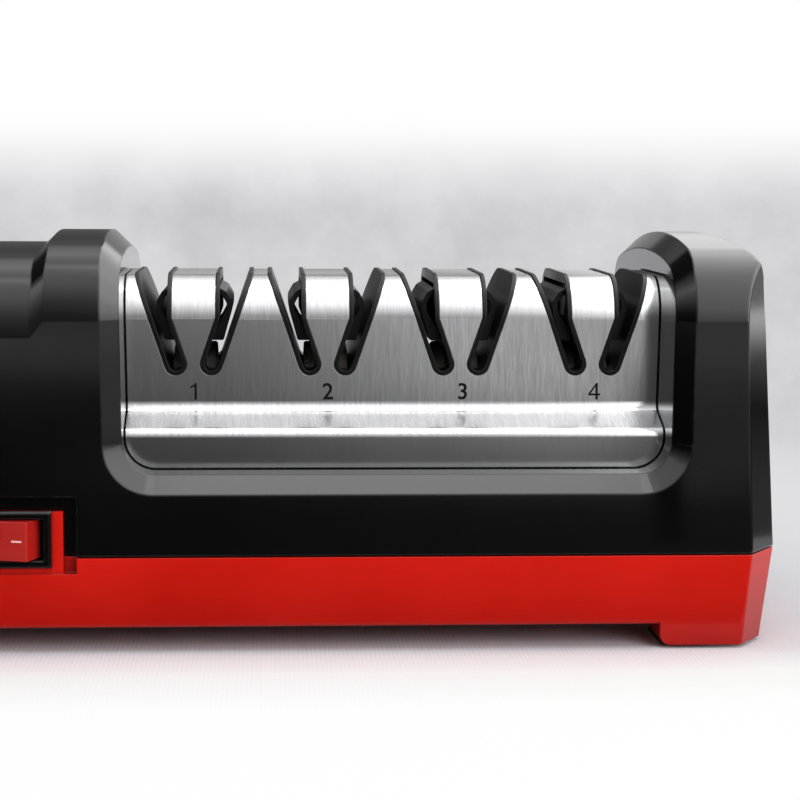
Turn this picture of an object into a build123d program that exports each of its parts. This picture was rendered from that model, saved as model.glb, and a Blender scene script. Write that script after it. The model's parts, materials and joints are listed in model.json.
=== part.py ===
from build123d import *
import os
from math import cos, radians, sin, tan

# Electric knife sharpener with four grinding stages.
# Millimetres. +Z is up, +X runs from the motor end to the stages, -Y is the user's side.
# The origin is under the middle of the body, on the surface that it stands on.

# ---- body: heights, depth and wall ----
BODY_DEPTH = 116.0
ARCH_TOP = 111.3
MOTOR_TOP = 107.7
SEAM_HEIGHT = 26.7
BELLY_HEIGHT = 6.9
WALL = 2.6
FACE_DRAFT = 1.9
END_DRAFT = 3.5
FACET_DRAFT = 2.6
BASE_DRAFT = 7.0
CORNER_CUT_X = 9.0
CORNER_CUT_Y = 13.0
CROWN_RADIUS = 237.0
CROWN_ALLOWANCE = 0.4
ARCH_FRONT_SHOULDER = 20.0
ARCH_REAR_SHOULDER = 14.0
MOTOR_SHOULDER = 21.0
END_RADIUS = 13.0
CREASE_ROUND = 2.0
BELLY_ROUND = 1.2
SEAM_GAP = 0.5
TONGUE_HEIGHT = 4.0
TONGUE_DEPTH = 5.5
TONGUE_THICKNESS = 1.5
SHELL_FIT = 0.15

# ---- body: what follows what along the length, from the motor end ----
END_ROOM = 20.5
ARCH_ROOM = 2.4
LEFT_ARCH = 20.2
RIGHT_ARCH = 30.4
STEP_WIDTH = 3.7

# ---- stages and knife slots ----
STAGES = 4
STAGE_PITCH = 37.0
STAGE_MARGIN = 18.1
SLOT_OFFSET = 4.9
SLOT_CENTRE_HEIGHT = 75.1
SLOT_RADIUS = 3.1
SLOT_LEAN = 18.8
SLOT_OVERRUN = 6.0
GUARD_HALF = 6.0
LINER_FIT = 0.12
LINER_WALL = 1.1
LINER_PROUD = 0.45
GUIDE_ROOF_GAP = 0.3
GUIDE_WAIST = 10.0

# ---- window that holds the steel cover ----
WINDOW_FLOOR = 47.7
WINDOW_DRAFT = 1.0
WINDOW_CORNER = 8.5
WINDOW_BEVEL = 4.8
WINDOW_WALL = 5.0
WINDOW_LIP = 3.0
NOTCH_REACH = 4.0

# ---- steel cover ----
SHEET = 0.8
COVER_GAP = 0.25
COVER_TOP = 99.4
COVER_SILL = 16.5
COVER_LIP = 3.2
UPPER_HALF_DEPTH = 29.0
LEDGE_BACK_HEIGHT = 62.6
LEDGE_FALL = 4.4
TOP_BEND = 11.9
LEDGE_ROLL = 2.6
LEDGE_FILLET = 3.0

# ---- blade springs inside the slots ----
LEAF_PIVOT_X = 3.5
LEAF_PIVOT_HEIGHT = 82.0
LEAF_THICKNESS = 1.5
LEAF_HALF_DEPTH = 22.0
LEAF_BARREL = 1.5
LEAF_PIN = 0.9
LEAF_PIN_LENGTH = 2.0
LEAF_CLEARANCE = 0.35
LEAF_ROOT_X = 0.8
LEAF_ROOT_RISE = 0.6
LEAF_KNEE_X = 7.4
LEAF_KNEE_HEIGHT = 85.2
LEAF_BULGE_X = 9.75
LEAF_BULGE_LOW = 89.5
LEAF_BULGE_HIGH = 91.8
LEAF_CURL_X = 8.4
LEAF_CURL_HEIGHT = 94.2
LEAF_TIP_X = 6.6
LEAF_TIP_HEIGHT = 95.2
LEAF_TOE_X = 8.2
LEAF_TOE_DROP = 0.75
LEAF_TOE_RADIUS = 0.6
LEAF_KNEE_RADIUS = 3.0
LEAF_BULGE_RADIUS = 2.0
LEAF_SHOULDER_RADIUS = 1.6
LEAF_CURL_RADIUS = 1.2
POCKET_CORE = 3.4
POCKET_TOP = 97.2
POCKET_SIDE = 3.5
POCKET_TOE = 0.6
POCKET_ELBOW_RISE = 6.0
POCKET_SHELF_RISE = 4.0
POCKET_SHELF_DROP = 2.0

# ---- drive shaft and wheels ----
SHAFT_HEIGHT = 51.0
SHAFT_RADIUS = 4.0
SHAFT_CHAMFER = 0.5
SHAFT_LEFT_END = 6.5
SHAFT_RIGHT_END = 5.0
RUNNING_FIT = 0.06
WHEEL_RADIUS = 28.2
WHEEL_THICKNESS = 3.0
WHEEL_CHAMFER = 0.4
WHEEL_FACE = 6.0
WHEEL_TRAVEL = 1.0
WHEEL_ROOM = 1.1
HUB_RADIUS = 8.5
HUB_INNER = 1.6
HUB_OUTER = 11.0
SPRING_WIRE = 0.5
SPRING_RADIUS = 4.9
SPRING_TURNS = 7
SPRING_SEAT_GAP = 0.2
SPRING_BORE_GAP = 0.4
SPRING_SEAT = 7.4
PIN_RADIUS = 1.25
PIN_LENGTH = 15.0
PIN_FIT = 0.02
PIN_STOP = 0.1

# ---- motor ----
STACK_LENGTH = 30.0
STATOR_HEIGHT = 56.0
STATOR_CORNER = 7.0
BORE_RADIUS = 17.0
AIR_GAP = 0.8
COIL_SIZE = 6.6
COIL_OFFSET_Y = 20.5
COIL_OFFSET_Z = 21.0
COIL_OVERHANG = 7.0
COIL_CORNER = 4.0
COIL_FIT = 0.2
CRADLE_RISE = 8.0
CRADLE_WALL = 2.5
CRADLE_RIB = 9.0
ROTOR_SLOTS = 12
ROTOR_SLOT_WIDTH = 3.0
ROTOR_SLOT_DEPTH = 5.5
BAR_FIT = 0.1
END_TURN_LENGTH = 6.0
END_TURN_RADIUS = 14.6
END_TURN_BORE_GAP = 0.5
COMMUTATOR_LENGTH = 9.0
COMMUTATOR_RADIUS = 9.0
COMMUTATOR_GROOVE = 0.5
COMMUTATOR_GROOVE_DEPTH = 1.0
FAN_RADIUS = 25.0
FAN_LENGTH = 6.0
FAN_DISC = 1.5
FAN_HUB = 7.0
FAN_BLADES = 9
FAN_BLADE = 1.4
BRUSH_SIZE = 5.0
BRUSH_LENGTH = 11.0
BRUSH_GAP = 0.1
HOLDER_WALL = 1.5
HOLDER_START = 2.0
HOLDER_END = 4.0

# ---- brackets and bushes ----
BRACKET_PLATE = 3.0
BRACKET_HALF_DEPTH = 29.0
BRACKET_FOOT = 12.0
BRACKET_SHOULDER = 10.0
BRACKET_HEAD_HALF = 14.0
BRACKET_HEAD_WALL = 7.0
BRACKET_SCREW_INSET = 7.0
BOSS_WALL = 3.0
MOTOR_CLEARANCE = 1.5
OUTBOARD_ROOM = 20.0
BUSH_RADIUS = 7.0
BUSH_LENGTH = 8.0
PEDESTAL_HEIGHT = 6.0

# ---- screws and feet ----
SCREW_RADIUS = 1.7
SCREW_HEAD_RADIUS = 3.4
SCREW_HEAD_HEIGHT = 2.4
SCREW_HOLE_FIT = 0.05
SCREW_RECESS_LENGTH = 3.6
SCREW_RECESS_WIDTH = 0.9
SCREW_RECESS_DEPTH = 1.3
SCREW_GRIP = 12.0
FOOT_SCREW_DEPTH = 3.0
POST_RADIUS = 4.6
POST_FOOT = 14.0
POST_BOSS_WALL = 1.0
CORNER_POST_INSET_X = 12.5
CORNER_POST_INSET_Y = 17.0
MIDDLE_POST_INSET_Y = 11.5
FOOT_HEIGHT = 5.9
FOOT_LENGTH = 31.0
FOOT_DEPTH = 30.0
FOOT_INSET = 2.0
FOOT_ROUND = 3.0
FOOT_ROOT = 1.3
PAD_THICKNESS = 2.0
PAD_PROUD = 1.0
PAD_SIZE_X = 13.0
PAD_SIZE_Y = 20.0
PAD_CORNER = 2.0
PAD_CHAMFER = 0.3
PAD_SHIFT = 8.0
PAD_FIT = 0.15

# ---- switch ----
SWITCH_SETBACK = 6.8
SWITCH_HEIGHT = 31.25
BEZEL_WIDTH = 24.6
BEZEL_HEIGHT = 15.3
BEZEL_PLATE = 1.5
BEZEL_RIM = 2.1
BEZEL_CHAMFER = 0.6
RISER_HALF = 15.3
RISER_TOP_MARGIN = -0.3
RISER_INSET = 1.0
RISER_THICKNESS = 5.4
POCKET_HALF = 18.8
POCKET_RAISE = 11.25
POCKET_DROP = 9.35
POCKET_INSET = 3.4
POCKET_WALL = 2.0
SWITCH_BODY_DEPTH = 16.0
SWITCH_BODY_INSET_X = 1.2
SWITCH_BODY_INSET_Z = 1.0
SWITCH_BACK = 3.0
SWITCH_FIT = 0.15
ROCKER_GAP = 0.35
ROCKER_ANGLE = 8.0
ROCKER_SWING = 16.0
ROCKER_PIVOT_DEPTH = 4.5
ROCKER_PROUD = 1.2
ROCKER_TIP = 2.4
ROCKER_SKIRT = 1.5
ROCKER_HEEL = 0.5
ROCKER_WAIST = 0.55
ROCKER_ROUND = 0.5
ROCKER_PIN = 1.0
ROCKER_PIN_REACH = 0.6
ROCKER_PIN_END = 0.1
TERMINAL_LENGTH = 6.0
TERMINAL_SPACING = 6.0
TERMINAL_THICKNESS = 0.8
TERMINAL_HALF = 3.1
TERMINAL_ROOM = 1.5

# ---- power inlet ----
INLET_END_ROOM = 32.0
INLET_HEIGHT = 40.0
INLET_WIDTH = 18.6
INLET_TALL = 11.0
INLET_FLANGE = 2.6
INLET_FLANGE_THICKNESS = 2.4
INLET_CHAMFER = 0.5
INLET_INSET = 1.6
INLET_DEPTH = 18.0
INLET_BACK = 3.0
INLET_WALL = 1.7
INLET_FIT = 0.15
INLET_SEAT_GAP = 0.5
CONTACT_RADIUS = 1.2
CONTACT_SPACING = 8.0
CONTACT_LENGTH = 9.0
CONTACT_TAIL = 8.0

# ---- leads inside the housing ----
LEAD_RADIUS = 1.1
LEAD_BEND = 2.2
LEAD_SPACING = 3.2
LEAD_CLEARANCE = 1.8
LEAD_FLOOR_GAP = 2.4
LEAD_RUN = 1.0

# ---- vents ----
VENT_ROWS = 5
VENT_PITCH = 6.0
VENT_HEIGHT = 44.0
VENT_LENGTH = 46.0
VENT_WIDTH = 2.4
BELLY_VENTS = 7
BELLY_VENT_PITCH = 7.0
BELLY_VENT_LENGTH = 40.0

# ---- reach of cutting tools past what they cut ----
CUT = 1.0
FAR = 400.0

# ---- places worked out from the sizes above ----
WINDOW_HALF = (STAGES - 1) / 2 * STAGE_PITCH + STAGE_MARGIN
MOTOR_SPAN = (
    BUSH_LENGTH + 3 * MOTOR_CLEARANCE + COMMUTATOR_LENGTH + END_TURN_LENGTH + STACK_LENGTH
    + COIL_OVERHANG + FAN_LENGTH)
MOTOR_BAY = END_ROOM + MOTOR_SPAN + BUSH_LENGTH / 2 + ARCH_ROOM
BODY_LENGTH = MOTOR_BAY + WINDOW_WALL + 2 * WINDOW_HALF + RIGHT_ARCH
LEFT_END = -BODY_LENGTH / 2
RIGHT_END = BODY_LENGTH / 2
FRONT = BODY_DEPTH / 2
WINDOW_X = RIGHT_END - RIGHT_ARCH - WINDOW_HALF
STEP_END_X = WINDOW_X - WINDOW_HALF - LEFT_ARCH
STEP_START_X = STEP_END_X - STEP_WIDTH
STAGE_CENTRES = [WINDOW_X + (i - (STAGES - 1) / 2) * STAGE_PITCH for i in range(STAGES)]
LOWER_HALF_DEPTH = FRONT - COVER_SILL
COVER_BOTTOM = WINDOW_FLOOR + COVER_GAP
COVER_OPENING = LOWER_HALF_DEPTH - COVER_LIP
FOOT_BOTTOM = BELLY_HEIGHT - FOOT_HEIGHT
FLOOR_TOP = BELLY_HEIGHT + WALL
RIM_TOP = SEAM_HEIGHT - SEAM_GAP
BRACKET_LEFT_X = LEFT_END + END_ROOM
COMMUTATOR_X = BRACKET_LEFT_X + BUSH_LENGTH / 2 + MOTOR_CLEARANCE + COMMUTATOR_LENGTH / 2
STACK_X = COMMUTATOR_X + COMMUTATOR_LENGTH / 2 + END_TURN_LENGTH + STACK_LENGTH / 2
FAN_X = STACK_X + STACK_LENGTH / 2 + COIL_OVERHANG + MOTOR_CLEARANCE
BRACKET_RIGHT_X = FAN_X + FAN_LENGTH + MOTOR_CLEARANCE + BUSH_LENGTH / 2
OUTBOARD_BRACKET_X = RIGHT_END - OUTBOARD_ROOM
SHAFT_LEFT = BRACKET_LEFT_X - SHAFT_LEFT_END
SHAFT_RIGHT = OUTBOARD_BRACKET_X + SHAFT_RIGHT_END
PEDESTAL_TOP = FLOOR_TOP + PEDESTAL_HEIGHT
WHEEL_BACK = WHEEL_FACE - WHEEL_THICKNESS
PIN_OFFSET = HUB_OUTER - PIN_RADIUS
GROOVE_BOTTOM = PIN_OFFSET - PIN_RADIUS - PIN_STOP
SWITCH_X = STEP_START_X - SWITCH_SETBACK
RISER_FRONT = FRONT - RISER_INSET
POCKET_FLOOR = FRONT - POCKET_INSET
SWITCH_REACH = RISER_FRONT - SWITCH_BODY_DEPTH
STATOR_HALF_DEPTH = SWITCH_REACH - TERMINAL_LENGTH - TERMINAL_ROOM - CRADLE_WALL
INLET_X = LEFT_END + INLET_END_ROOM
INLET_SEAT = FRONT - INLET_INSET
INLET_FACE = INLET_SEAT + INLET_FLANGE_THICKNESS
INLET_FLOOR = INLET_FACE - INLET_DEPTH + INLET_BACK

BRACKETS = [
    ("motor_bracket_left", BRACKET_LEFT_X, -1),
    ("motor_bracket_right", BRACKET_RIGHT_X, 1),
    ("outboard_bracket", OUTBOARD_BRACKET_X, 1)]

parts = {}


# ---- helpers ----
def prism_x(face, start, end):
    """Face drawn in depth and height, pushed from start to end along X."""
    return extrude(Plane.YZ.offset(start) * face, end - start)


def prism_y(face, start, end):
    """Face drawn in length and height, pushed from start to end along Y."""
    return extrude(Plane.XZ.offset(-end) * face, end - start)


def prism_z(face, start, end):
    """Face drawn in plan, pushed from start to end along Z."""
    return extrude(Plane.XY.offset(start) * face, end - start)


def block(x, y, z):
    """Box from three (low, high) pairs."""
    centre = Pos((x[0] + x[1]) / 2, (y[0] + y[1]) / 2, (z[0] + z[1]) / 2)
    return centre * Box(x[1] - x[0], y[1] - y[0], z[1] - z[0])


def rod_x(radius, start, end, y=0.0, z=SHAFT_HEIGHT):
    return prism_x(Pos(y, z) * Circle(radius), start, end)


def rod_y(radius, start, end, x, z):
    return prism_y(Pos(x, z) * Circle(radius), start, end)


def rod_z(radius, start, end, x, y):
    return prism_z(Pos(x, y) * Circle(radius), start, end)


def outline(points, side):
    """Closed outline in length and height; side -1 gives its mirror image about the stage."""
    turned = [(side * x, z) for x, z in points]
    return Polygon(*turned[::side], align=None)


def above(height):
    return block((-FAR, FAR), (-FAR, FAR), (height, FAR))


def add(name, solids):
    parts[name] = solids


# ---- outer forms ----
def body_plan(inset):
    """Plan outline at the seam: a rectangle with its four corners cut, moved inwards by inset."""
    slope = Vector(CORNER_CUT_X, CORNER_CUT_Y).get_angle(Vector(1, 0))
    near_x = RIGHT_END - CORNER_CUT_X - inset * tan(radians(slope / 2))
    near_y = FRONT - inset
    far_x = RIGHT_END - inset
    far_y = FRONT - CORNER_CUT_Y - inset * tan(radians(45 - slope / 2))
    corner = [(near_x, near_y), (far_x, far_y)]
    right = [(x, -y) for x, y in corner] + [(x, y) for x, y in reversed(corner)]
    left = [(-x, -y) for x, y in reversed(right)]
    return Polygon(*right, *[(x, -y) for x, y in left], align=None)


def body_section(top, front_shoulder, rear_shoulder, inset):
    """Section across the upper housing: leaning faces, round shoulders, low crown."""
    lean = tan(radians(FACE_DRAFT))
    low = SEAM_HEIGHT
    high = top + front_shoulder
    foot = FRONT - inset
    head = foot - (high - low) * lean
    sides = Polygon((-foot, low), (foot, low), (head, high), (-head, high), align=None)
    crown = Pos(0, top - CROWN_RADIUS) * Circle(CROWN_RADIUS - inset)
    face = sides & crown
    front, rear = face.vertices().group_by(Axis.Y)[-1].sort_by(Axis.X)
    face = fillet(rear, rear_shoulder - inset)
    front = face.vertices().sort_by_distance(front)[0]
    return fillet(front, front_shoulder - inset)


def body_side(inset):
    """Side outline of the upper housing, with leaning ends and round upper corners."""
    lean = tan(radians(END_DRAFT))
    left_top = MOTOR_TOP + CROWN_ALLOWANCE - inset
    right_top = ARCH_TOP + CROWN_ALLOWANCE - inset
    foot = RIGHT_END - inset
    left = foot - (left_top - SEAM_HEIGHT) * lean
    right = foot - (right_top - SEAM_HEIGHT) * lean
    step = STEP_START_X - STEP_WIDTH
    face = Polygon(
        (-foot, SEAM_HEIGHT), (foot, SEAM_HEIGHT), (right, right_top),
        (step, right_top), (step, left_top), (-left, left_top), align=None)
    ends = face.vertices().sort_by(Axis.X)
    return fillet([ends[1], ends[-2]], END_RADIUS - inset)


def facet_block(inset):
    """Tall block whose four corner facets lean inwards with height."""
    slope = CORNER_CUT_Y / CORNER_CUT_X
    reach = CORNER_CUT_Y
    shift = inset / sin(radians(Vector(CORNER_CUT_X, CORNER_CUT_Y).get_angle(Vector(1, 0))))
    near_x = RIGHT_END - CORNER_CUT_X - reach / slope - shift
    near_y = FRONT + reach
    far_x = RIGHT_END + reach
    far_y = FRONT - CORNER_CUT_Y - reach * slope - shift * slope
    plan = Polygon(
        (near_x, -near_y), (far_x, -far_y), (far_x, far_y), (near_x, near_y),
        (-near_x, near_y), (-far_x, far_y), (-far_x, -far_y), (-near_x, -near_y), align=None)
    return extrude(Plane.XY.offset(SEAM_HEIGHT) * plan, ARCH_TOP, taper=FACET_DRAFT)


def body_hull(inset):
    """Upper housing as a solid block, moved inwards by inset."""
    motor = body_section(MOTOR_TOP, MOTOR_SHOULDER, MOTOR_SHOULDER, inset)
    arch = body_section(ARCH_TOP, ARCH_FRONT_SHOULDER, ARCH_REAR_SHOULDER, inset)
    bar = prism_x(motor, LEFT_END - CUT, STEP_START_X)
    bar += loft([Plane.YZ.offset(STEP_START_X) * motor, Plane.YZ.offset(STEP_END_X) * arch], ruled=True)
    bar += prism_x(arch, STEP_END_X, RIGHT_END + CUT)
    return bar & prism_y(body_side(inset), -BODY_DEPTH, BODY_DEPTH) & facet_block(inset)


def round_creases(hull):
    """Rounds the creases between the faces, facets and round ends at both ends of the body."""
    creases = [e for e in hull.edges() if abs(e.center().X) > RIGHT_END - END_RADIUS - CORNER_CUT_X]
    return fillet([e for e in creases if e.center().Z > SEAM_HEIGHT + CUT], CREASE_ROUND)


def round_corners(layer):
    """Rounds the upright edges between the faces and facets of the base."""
    return fillet([e for e in layer.edges() if abs(e.tangent_at(0.5).Z) > 0.5], CREASE_ROUND)


def window_prism(grow):
    """What the window takes away between the arches, grown by grow on its three sides."""
    low = WINDOW_FLOOR - grow
    high = 2 * ARCH_TOP
    foot = WINDOW_HALF + grow
    head = foot + (high - low) * tan(radians(WINDOW_DRAFT))
    face = Polygon((-foot, low), (foot, low), (head, high), (-head, high), align=None)
    face = fillet(face.vertices().group_by(Axis.Y)[0], WINDOW_CORNER + grow)
    return prism_y(Pos(WINDOW_X, 0) * face, -BODY_DEPTH, BODY_DEPTH)


def switch_box(half, low, high, front, back):
    """Block about the switch: half its width, how far it goes down and up, and two depths."""
    return block(
        (SWITCH_X - half, SWITCH_X + half), (-front, -back),
        (SWITCH_HEIGHT - low, SWITCH_HEIGHT + high))


# ---- steel cover ----
def cover_section(inset):
    """Section of the steel cover, moved inwards by inset; a negative inset moves it outwards."""
    fall = LEDGE_FALL / (LOWER_HALF_DEPTH - UPPER_HALF_DEPTH)
    back = UPPER_HALF_DEPTH - inset
    front = LOWER_HALF_DEPTH - inset
    drop = inset * (1 + fall ** 2) ** 0.5
    back_height = LEDGE_BACK_HEIGHT - drop + inset * fall
    front_height = back_height - LEDGE_FALL
    top = COVER_TOP - inset
    half = [(back, top), (back, back_height), (front, front_height), (front, COVER_BOTTOM)]
    points = [(-y, z) for y, z in reversed(half)] + half
    radii = [LEDGE_ROLL - inset, LEDGE_FILLET + inset, TOP_BEND - inset]
    bent_line = FilletPolyline(*points, radius=radii + radii[::-1])
    return make_face(bent_line + Line(points[-1], points[0]))


def slot_face(side, inset):
    """Knife slot in length and height about its stage: round at the foot, leaning outwards."""
    lean = radians(SLOT_LEAN)
    radius = SLOT_RADIUS - inset
    across = (cos(lean), -sin(lean))
    guard = GUARD_HALF + inset
    head = COVER_TOP + SLOT_OVERRUN
    inner_x = SLOT_OFFSET - radius * across[0]
    inner_z = SLOT_CENTRE_HEIGHT - radius * across[1]
    outer_x = SLOT_OFFSET + radius * across[0]
    outer_z = SLOT_CENTRE_HEIGHT + radius * across[1]
    bend_z = inner_z + (guard - inner_x) / tan(lean)
    head_x = outer_x + (head - outer_z) * tan(lean)
    points = [(inner_x, inner_z), (outer_x, outer_z), (head_x, head), (guard, head), (guard, bend_z)]
    return outline(points, side) + Pos(side * SLOT_OFFSET, SLOT_CENTRE_HEIGHT) * Circle(radius)


def make_steel_cover():
    reach = WINDOW_HALF + COVER_TOP * tan(radians(WINDOW_DRAFT))
    low = WINDOW_X - reach
    high = WINDOW_X + reach
    cover = prism_x(cover_section(0), low, high)
    cover -= prism_x(cover_section(SHEET), low - CUT, high + CUT)
    cover &= window_prism(-COVER_GAP)
    for x in STAGE_CENTRES:
        for side in (-1, 1):
            cover -= prism_y(Pos(x, 0) * slot_face(side, 0), -BODY_DEPTH, BODY_DEPTH)
    add("steel_cover", cover)


# ---- blade guides and their springs ----
def pocket_face(side):
    """Room for a blade spring in the guide, in length and height about the stage."""
    low = LEAF_PIVOT_HEIGHT - LEAF_BARREL - LEAF_CLEARANCE
    inner = LEAF_PIVOT_X - LEAF_BARREL - LEAF_CLEARANCE
    outer = GUARD_HALF + POCKET_SIDE
    points = [
        (inner, low), (SLOT_OFFSET + POCKET_TOE, low), (outer, LEAF_PIVOT_HEIGHT + POCKET_ELBOW_RISE),
        (outer, POCKET_TOP), (POCKET_CORE, POCKET_TOP),
        (POCKET_CORE, LEAF_PIVOT_HEIGHT + POCKET_SHELF_RISE),
        (inner, LEAF_PIVOT_HEIGHT + POCKET_SHELF_RISE - POCKET_SHELF_DROP)]
    return outline(points, side)


def make_guide(number, x):
    outer = prism_x(cover_section(-LINER_PROUD), x - STAGE_PITCH, x + STAGE_PITCH)
    under = prism_x(cover_section(SHEET + GUIDE_ROOF_GAP), x - STAGE_PITCH, x + STAGE_PITCH)
    reach = UPPER_HALF_DEPTH + CUT
    overlap = LINER_FIT + LINER_WALL / 2
    half = GUARD_HALF + overlap
    waist = COVER_TOP - GUIDE_WAIST
    core = Polygon(
        (-SLOT_OFFSET, SLOT_CENTRE_HEIGHT), (SLOT_OFFSET, SLOT_CENTRE_HEIGHT), (half, waist),
        (half, COVER_TOP), (-half, COVER_TOP), (-half, waist), align=None)
    for side in (-1, 1):
        core -= slot_face(side, overlap)
    guide = prism_y(Pos(x, 0) * core, -reach, reach) & under
    for side in (-1, 1):
        liner = slot_face(side, LINER_FIT) - slot_face(side, LINER_FIT + LINER_WALL)
        guide += prism_y(Pos(x, 0) * liner, -reach, reach) & outer
    side_room = WHEEL_FACE + WHEEL_ROOM
    guide -= rod_x(WHEEL_RADIUS + WHEEL_ROOM, x - side_room, x + side_room)
    half_depth = LEAF_HALF_DEPTH + LEAF_CLEARANCE
    pin_half = half_depth + LEAF_PIN_LENGTH
    for side in (-1, 1):
        guide -= prism_y(Pos(x, 0) * pocket_face(side), -half_depth, half_depth)
        pin_x = x + side * LEAF_PIVOT_X
        guide -= rod_y(LEAF_PIN + RUNNING_FIT, -pin_half, pin_half, pin_x, LEAF_PIVOT_HEIGHT)
    add(f"blade_guide_{number}", guide)


def make_blade_spring(number, x, side, name):
    """Curved leaf on a pivot: thick at its toe, it rises in the slot, bulges and curls back to the guard."""
    path = FilletPolyline(
        (LEAF_PIVOT_X + LEAF_ROOT_X, LEAF_PIVOT_HEIGHT + LEAF_ROOT_RISE),
        (LEAF_KNEE_X, LEAF_KNEE_HEIGHT), (LEAF_BULGE_X, LEAF_BULGE_LOW),
        (LEAF_BULGE_X, LEAF_BULGE_HIGH), (LEAF_CURL_X, LEAF_CURL_HEIGHT), (LEAF_TIP_X, LEAF_TIP_HEIGHT),
        radius=[LEAF_KNEE_RADIUS, LEAF_BULGE_RADIUS, LEAF_SHOULDER_RADIUS, LEAF_CURL_RADIUS])
    leaf = trace(path, line_width=LEAF_THICKNESS)
    leaf += Pos(LEAF_PIVOT_X, LEAF_PIVOT_HEIGHT) * Circle(LEAF_BARREL)
    toe_height = LEAF_PIVOT_HEIGHT - LEAF_TOE_DROP
    toe = Polygon(
        (LEAF_PIVOT_X, LEAF_PIVOT_HEIGHT), (LEAF_PIVOT_X, toe_height), (LEAF_TOE_X, toe_height),
        (LEAF_BULGE_X + LEAF_THICKNESS / 2, LEAF_BULGE_LOW), (LEAF_KNEE_X, LEAF_KNEE_HEIGHT), align=None)
    toe_corner = toe.vertices().group_by(Axis.Y)[0].sort_by(Axis.X)[-1]
    leaf += fillet(toe_corner, LEAF_TOE_RADIUS)
    pin = Pos(LEAF_PIVOT_X, LEAF_PIVOT_HEIGHT) * Circle(LEAF_PIN)
    spring = prism_y(leaf, -LEAF_HALF_DEPTH, LEAF_HALF_DEPTH)
    pin_half = LEAF_HALF_DEPTH + LEAF_PIN_LENGTH
    spring += prism_y(pin, -pin_half, pin_half)
    if side < 0:
        spring = mirror(spring, Plane.YZ)
    add(f"blade_spring_{number}_{name}", Pos(x, 0, 0) * spring)


# ---- shaft line ----
def wheel_pin_places():
    return [x + side * PIN_OFFSET for x in STAGE_CENTRES for side in (-1, 1)]


def make_shaft():
    shaft = rod_x(SHAFT_RADIUS, SHAFT_LEFT, SHAFT_RIGHT)
    shaft = chamfer(shaft.edges().filter_by(GeomType.CIRCLE), SHAFT_CHAMFER)
    reach = SHAFT_RADIUS + CUT
    for x in wheel_pin_places():
        shaft -= rod_z(PIN_RADIUS + PIN_FIT, SHAFT_HEIGHT - reach, SHAFT_HEIGHT + reach, x, 0)
    add("drive_shaft", shaft)
    half = PIN_LENGTH / 2
    pins = [rod_z(PIN_RADIUS, SHAFT_HEIGHT - half, SHAFT_HEIGHT + half, x, 0) for x in wheel_pin_places()]
    add("wheel_drive_pins", pins)


def make_wheel(number, x, side, name):
    """Abrasive disc on a hub that slides on the shaft; the pin in the hub's groove turns it."""
    def disc(radius, near, far):
        return rod_x(radius, *sorted((x + side * near, x + side * far)))

    wheel = disc(WHEEL_RADIUS, WHEEL_BACK, WHEEL_FACE)
    wheel = chamfer(wheel.edges().filter_by(GeomType.CIRCLE), WHEEL_CHAMFER)
    wheel += disc(HUB_RADIUS, HUB_INNER, HUB_OUTER)
    wheel -= disc(SHAFT_RADIUS + RUNNING_FIT, 0, HUB_OUTER + CUT)
    wheel -= disc(SPRING_RADIUS + SPRING_WIRE + SPRING_BORE_GAP, 0, SPRING_SEAT)
    groove = sorted((x + side * GROOVE_BOTTOM, x + side * (HUB_OUTER + CUT)))
    half = PIN_RADIUS + PIN_STOP
    reach = HUB_RADIUS + CUT
    wheel -= block(groove, (-half, half), (SHAFT_HEIGHT - reach, SHAFT_HEIGHT + reach))
    add(f"grinding_wheel_{number}_{name}", wheel)


def make_wheel_spring(number, x):
    length = 2 * (SPRING_SEAT - WHEEL_TRAVEL - SPRING_SEAT_GAP - SPRING_WIRE)
    coil = Helix(pitch=length / SPRING_TURNS, height=length, radius=SPRING_RADIUS)
    section = Plane(coil @ 0, z_dir=coil % 0) * Circle(SPRING_WIRE)
    spring = sweep(section, path=coil)
    spring = Pos(x - length / 2, 0, SHAFT_HEIGHT) * Rot(0, 90, 0) * spring
    add(f"wheel_spring_{number}", spring)


def make_bushes():
    bushes = []
    for name, x, foot_side in BRACKETS:
        bush = rod_x(BUSH_RADIUS, x - BUSH_LENGTH / 2, x + BUSH_LENGTH / 2)
        bush -= rod_x(SHAFT_RADIUS + RUNNING_FIT, x - BUSH_LENGTH, x + BUSH_LENGTH)
        bushes.append(bush)
    add("shaft_bushes", bushes)


def bracket_screw_places(x, foot_side):
    screw_x = x + foot_side * (BRACKET_PLATE + BRACKET_FOOT) / 2
    screw_y = BRACKET_HALF_DEPTH - BRACKET_SCREW_INSET
    return [(screw_x, -screw_y), (screw_x, screw_y)]


def bracket_foot(x, foot_side, low, high):
    """Foot of a bracket, or the pedestal under it, between two heights."""
    near = BRACKET_PLATE / 2
    edge = sorted((x - foot_side * near, x + foot_side * (near + BRACKET_FOOT)))
    return block(edge, (-BRACKET_HALF_DEPTH, BRACKET_HALF_DEPTH), (low, high))


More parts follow.
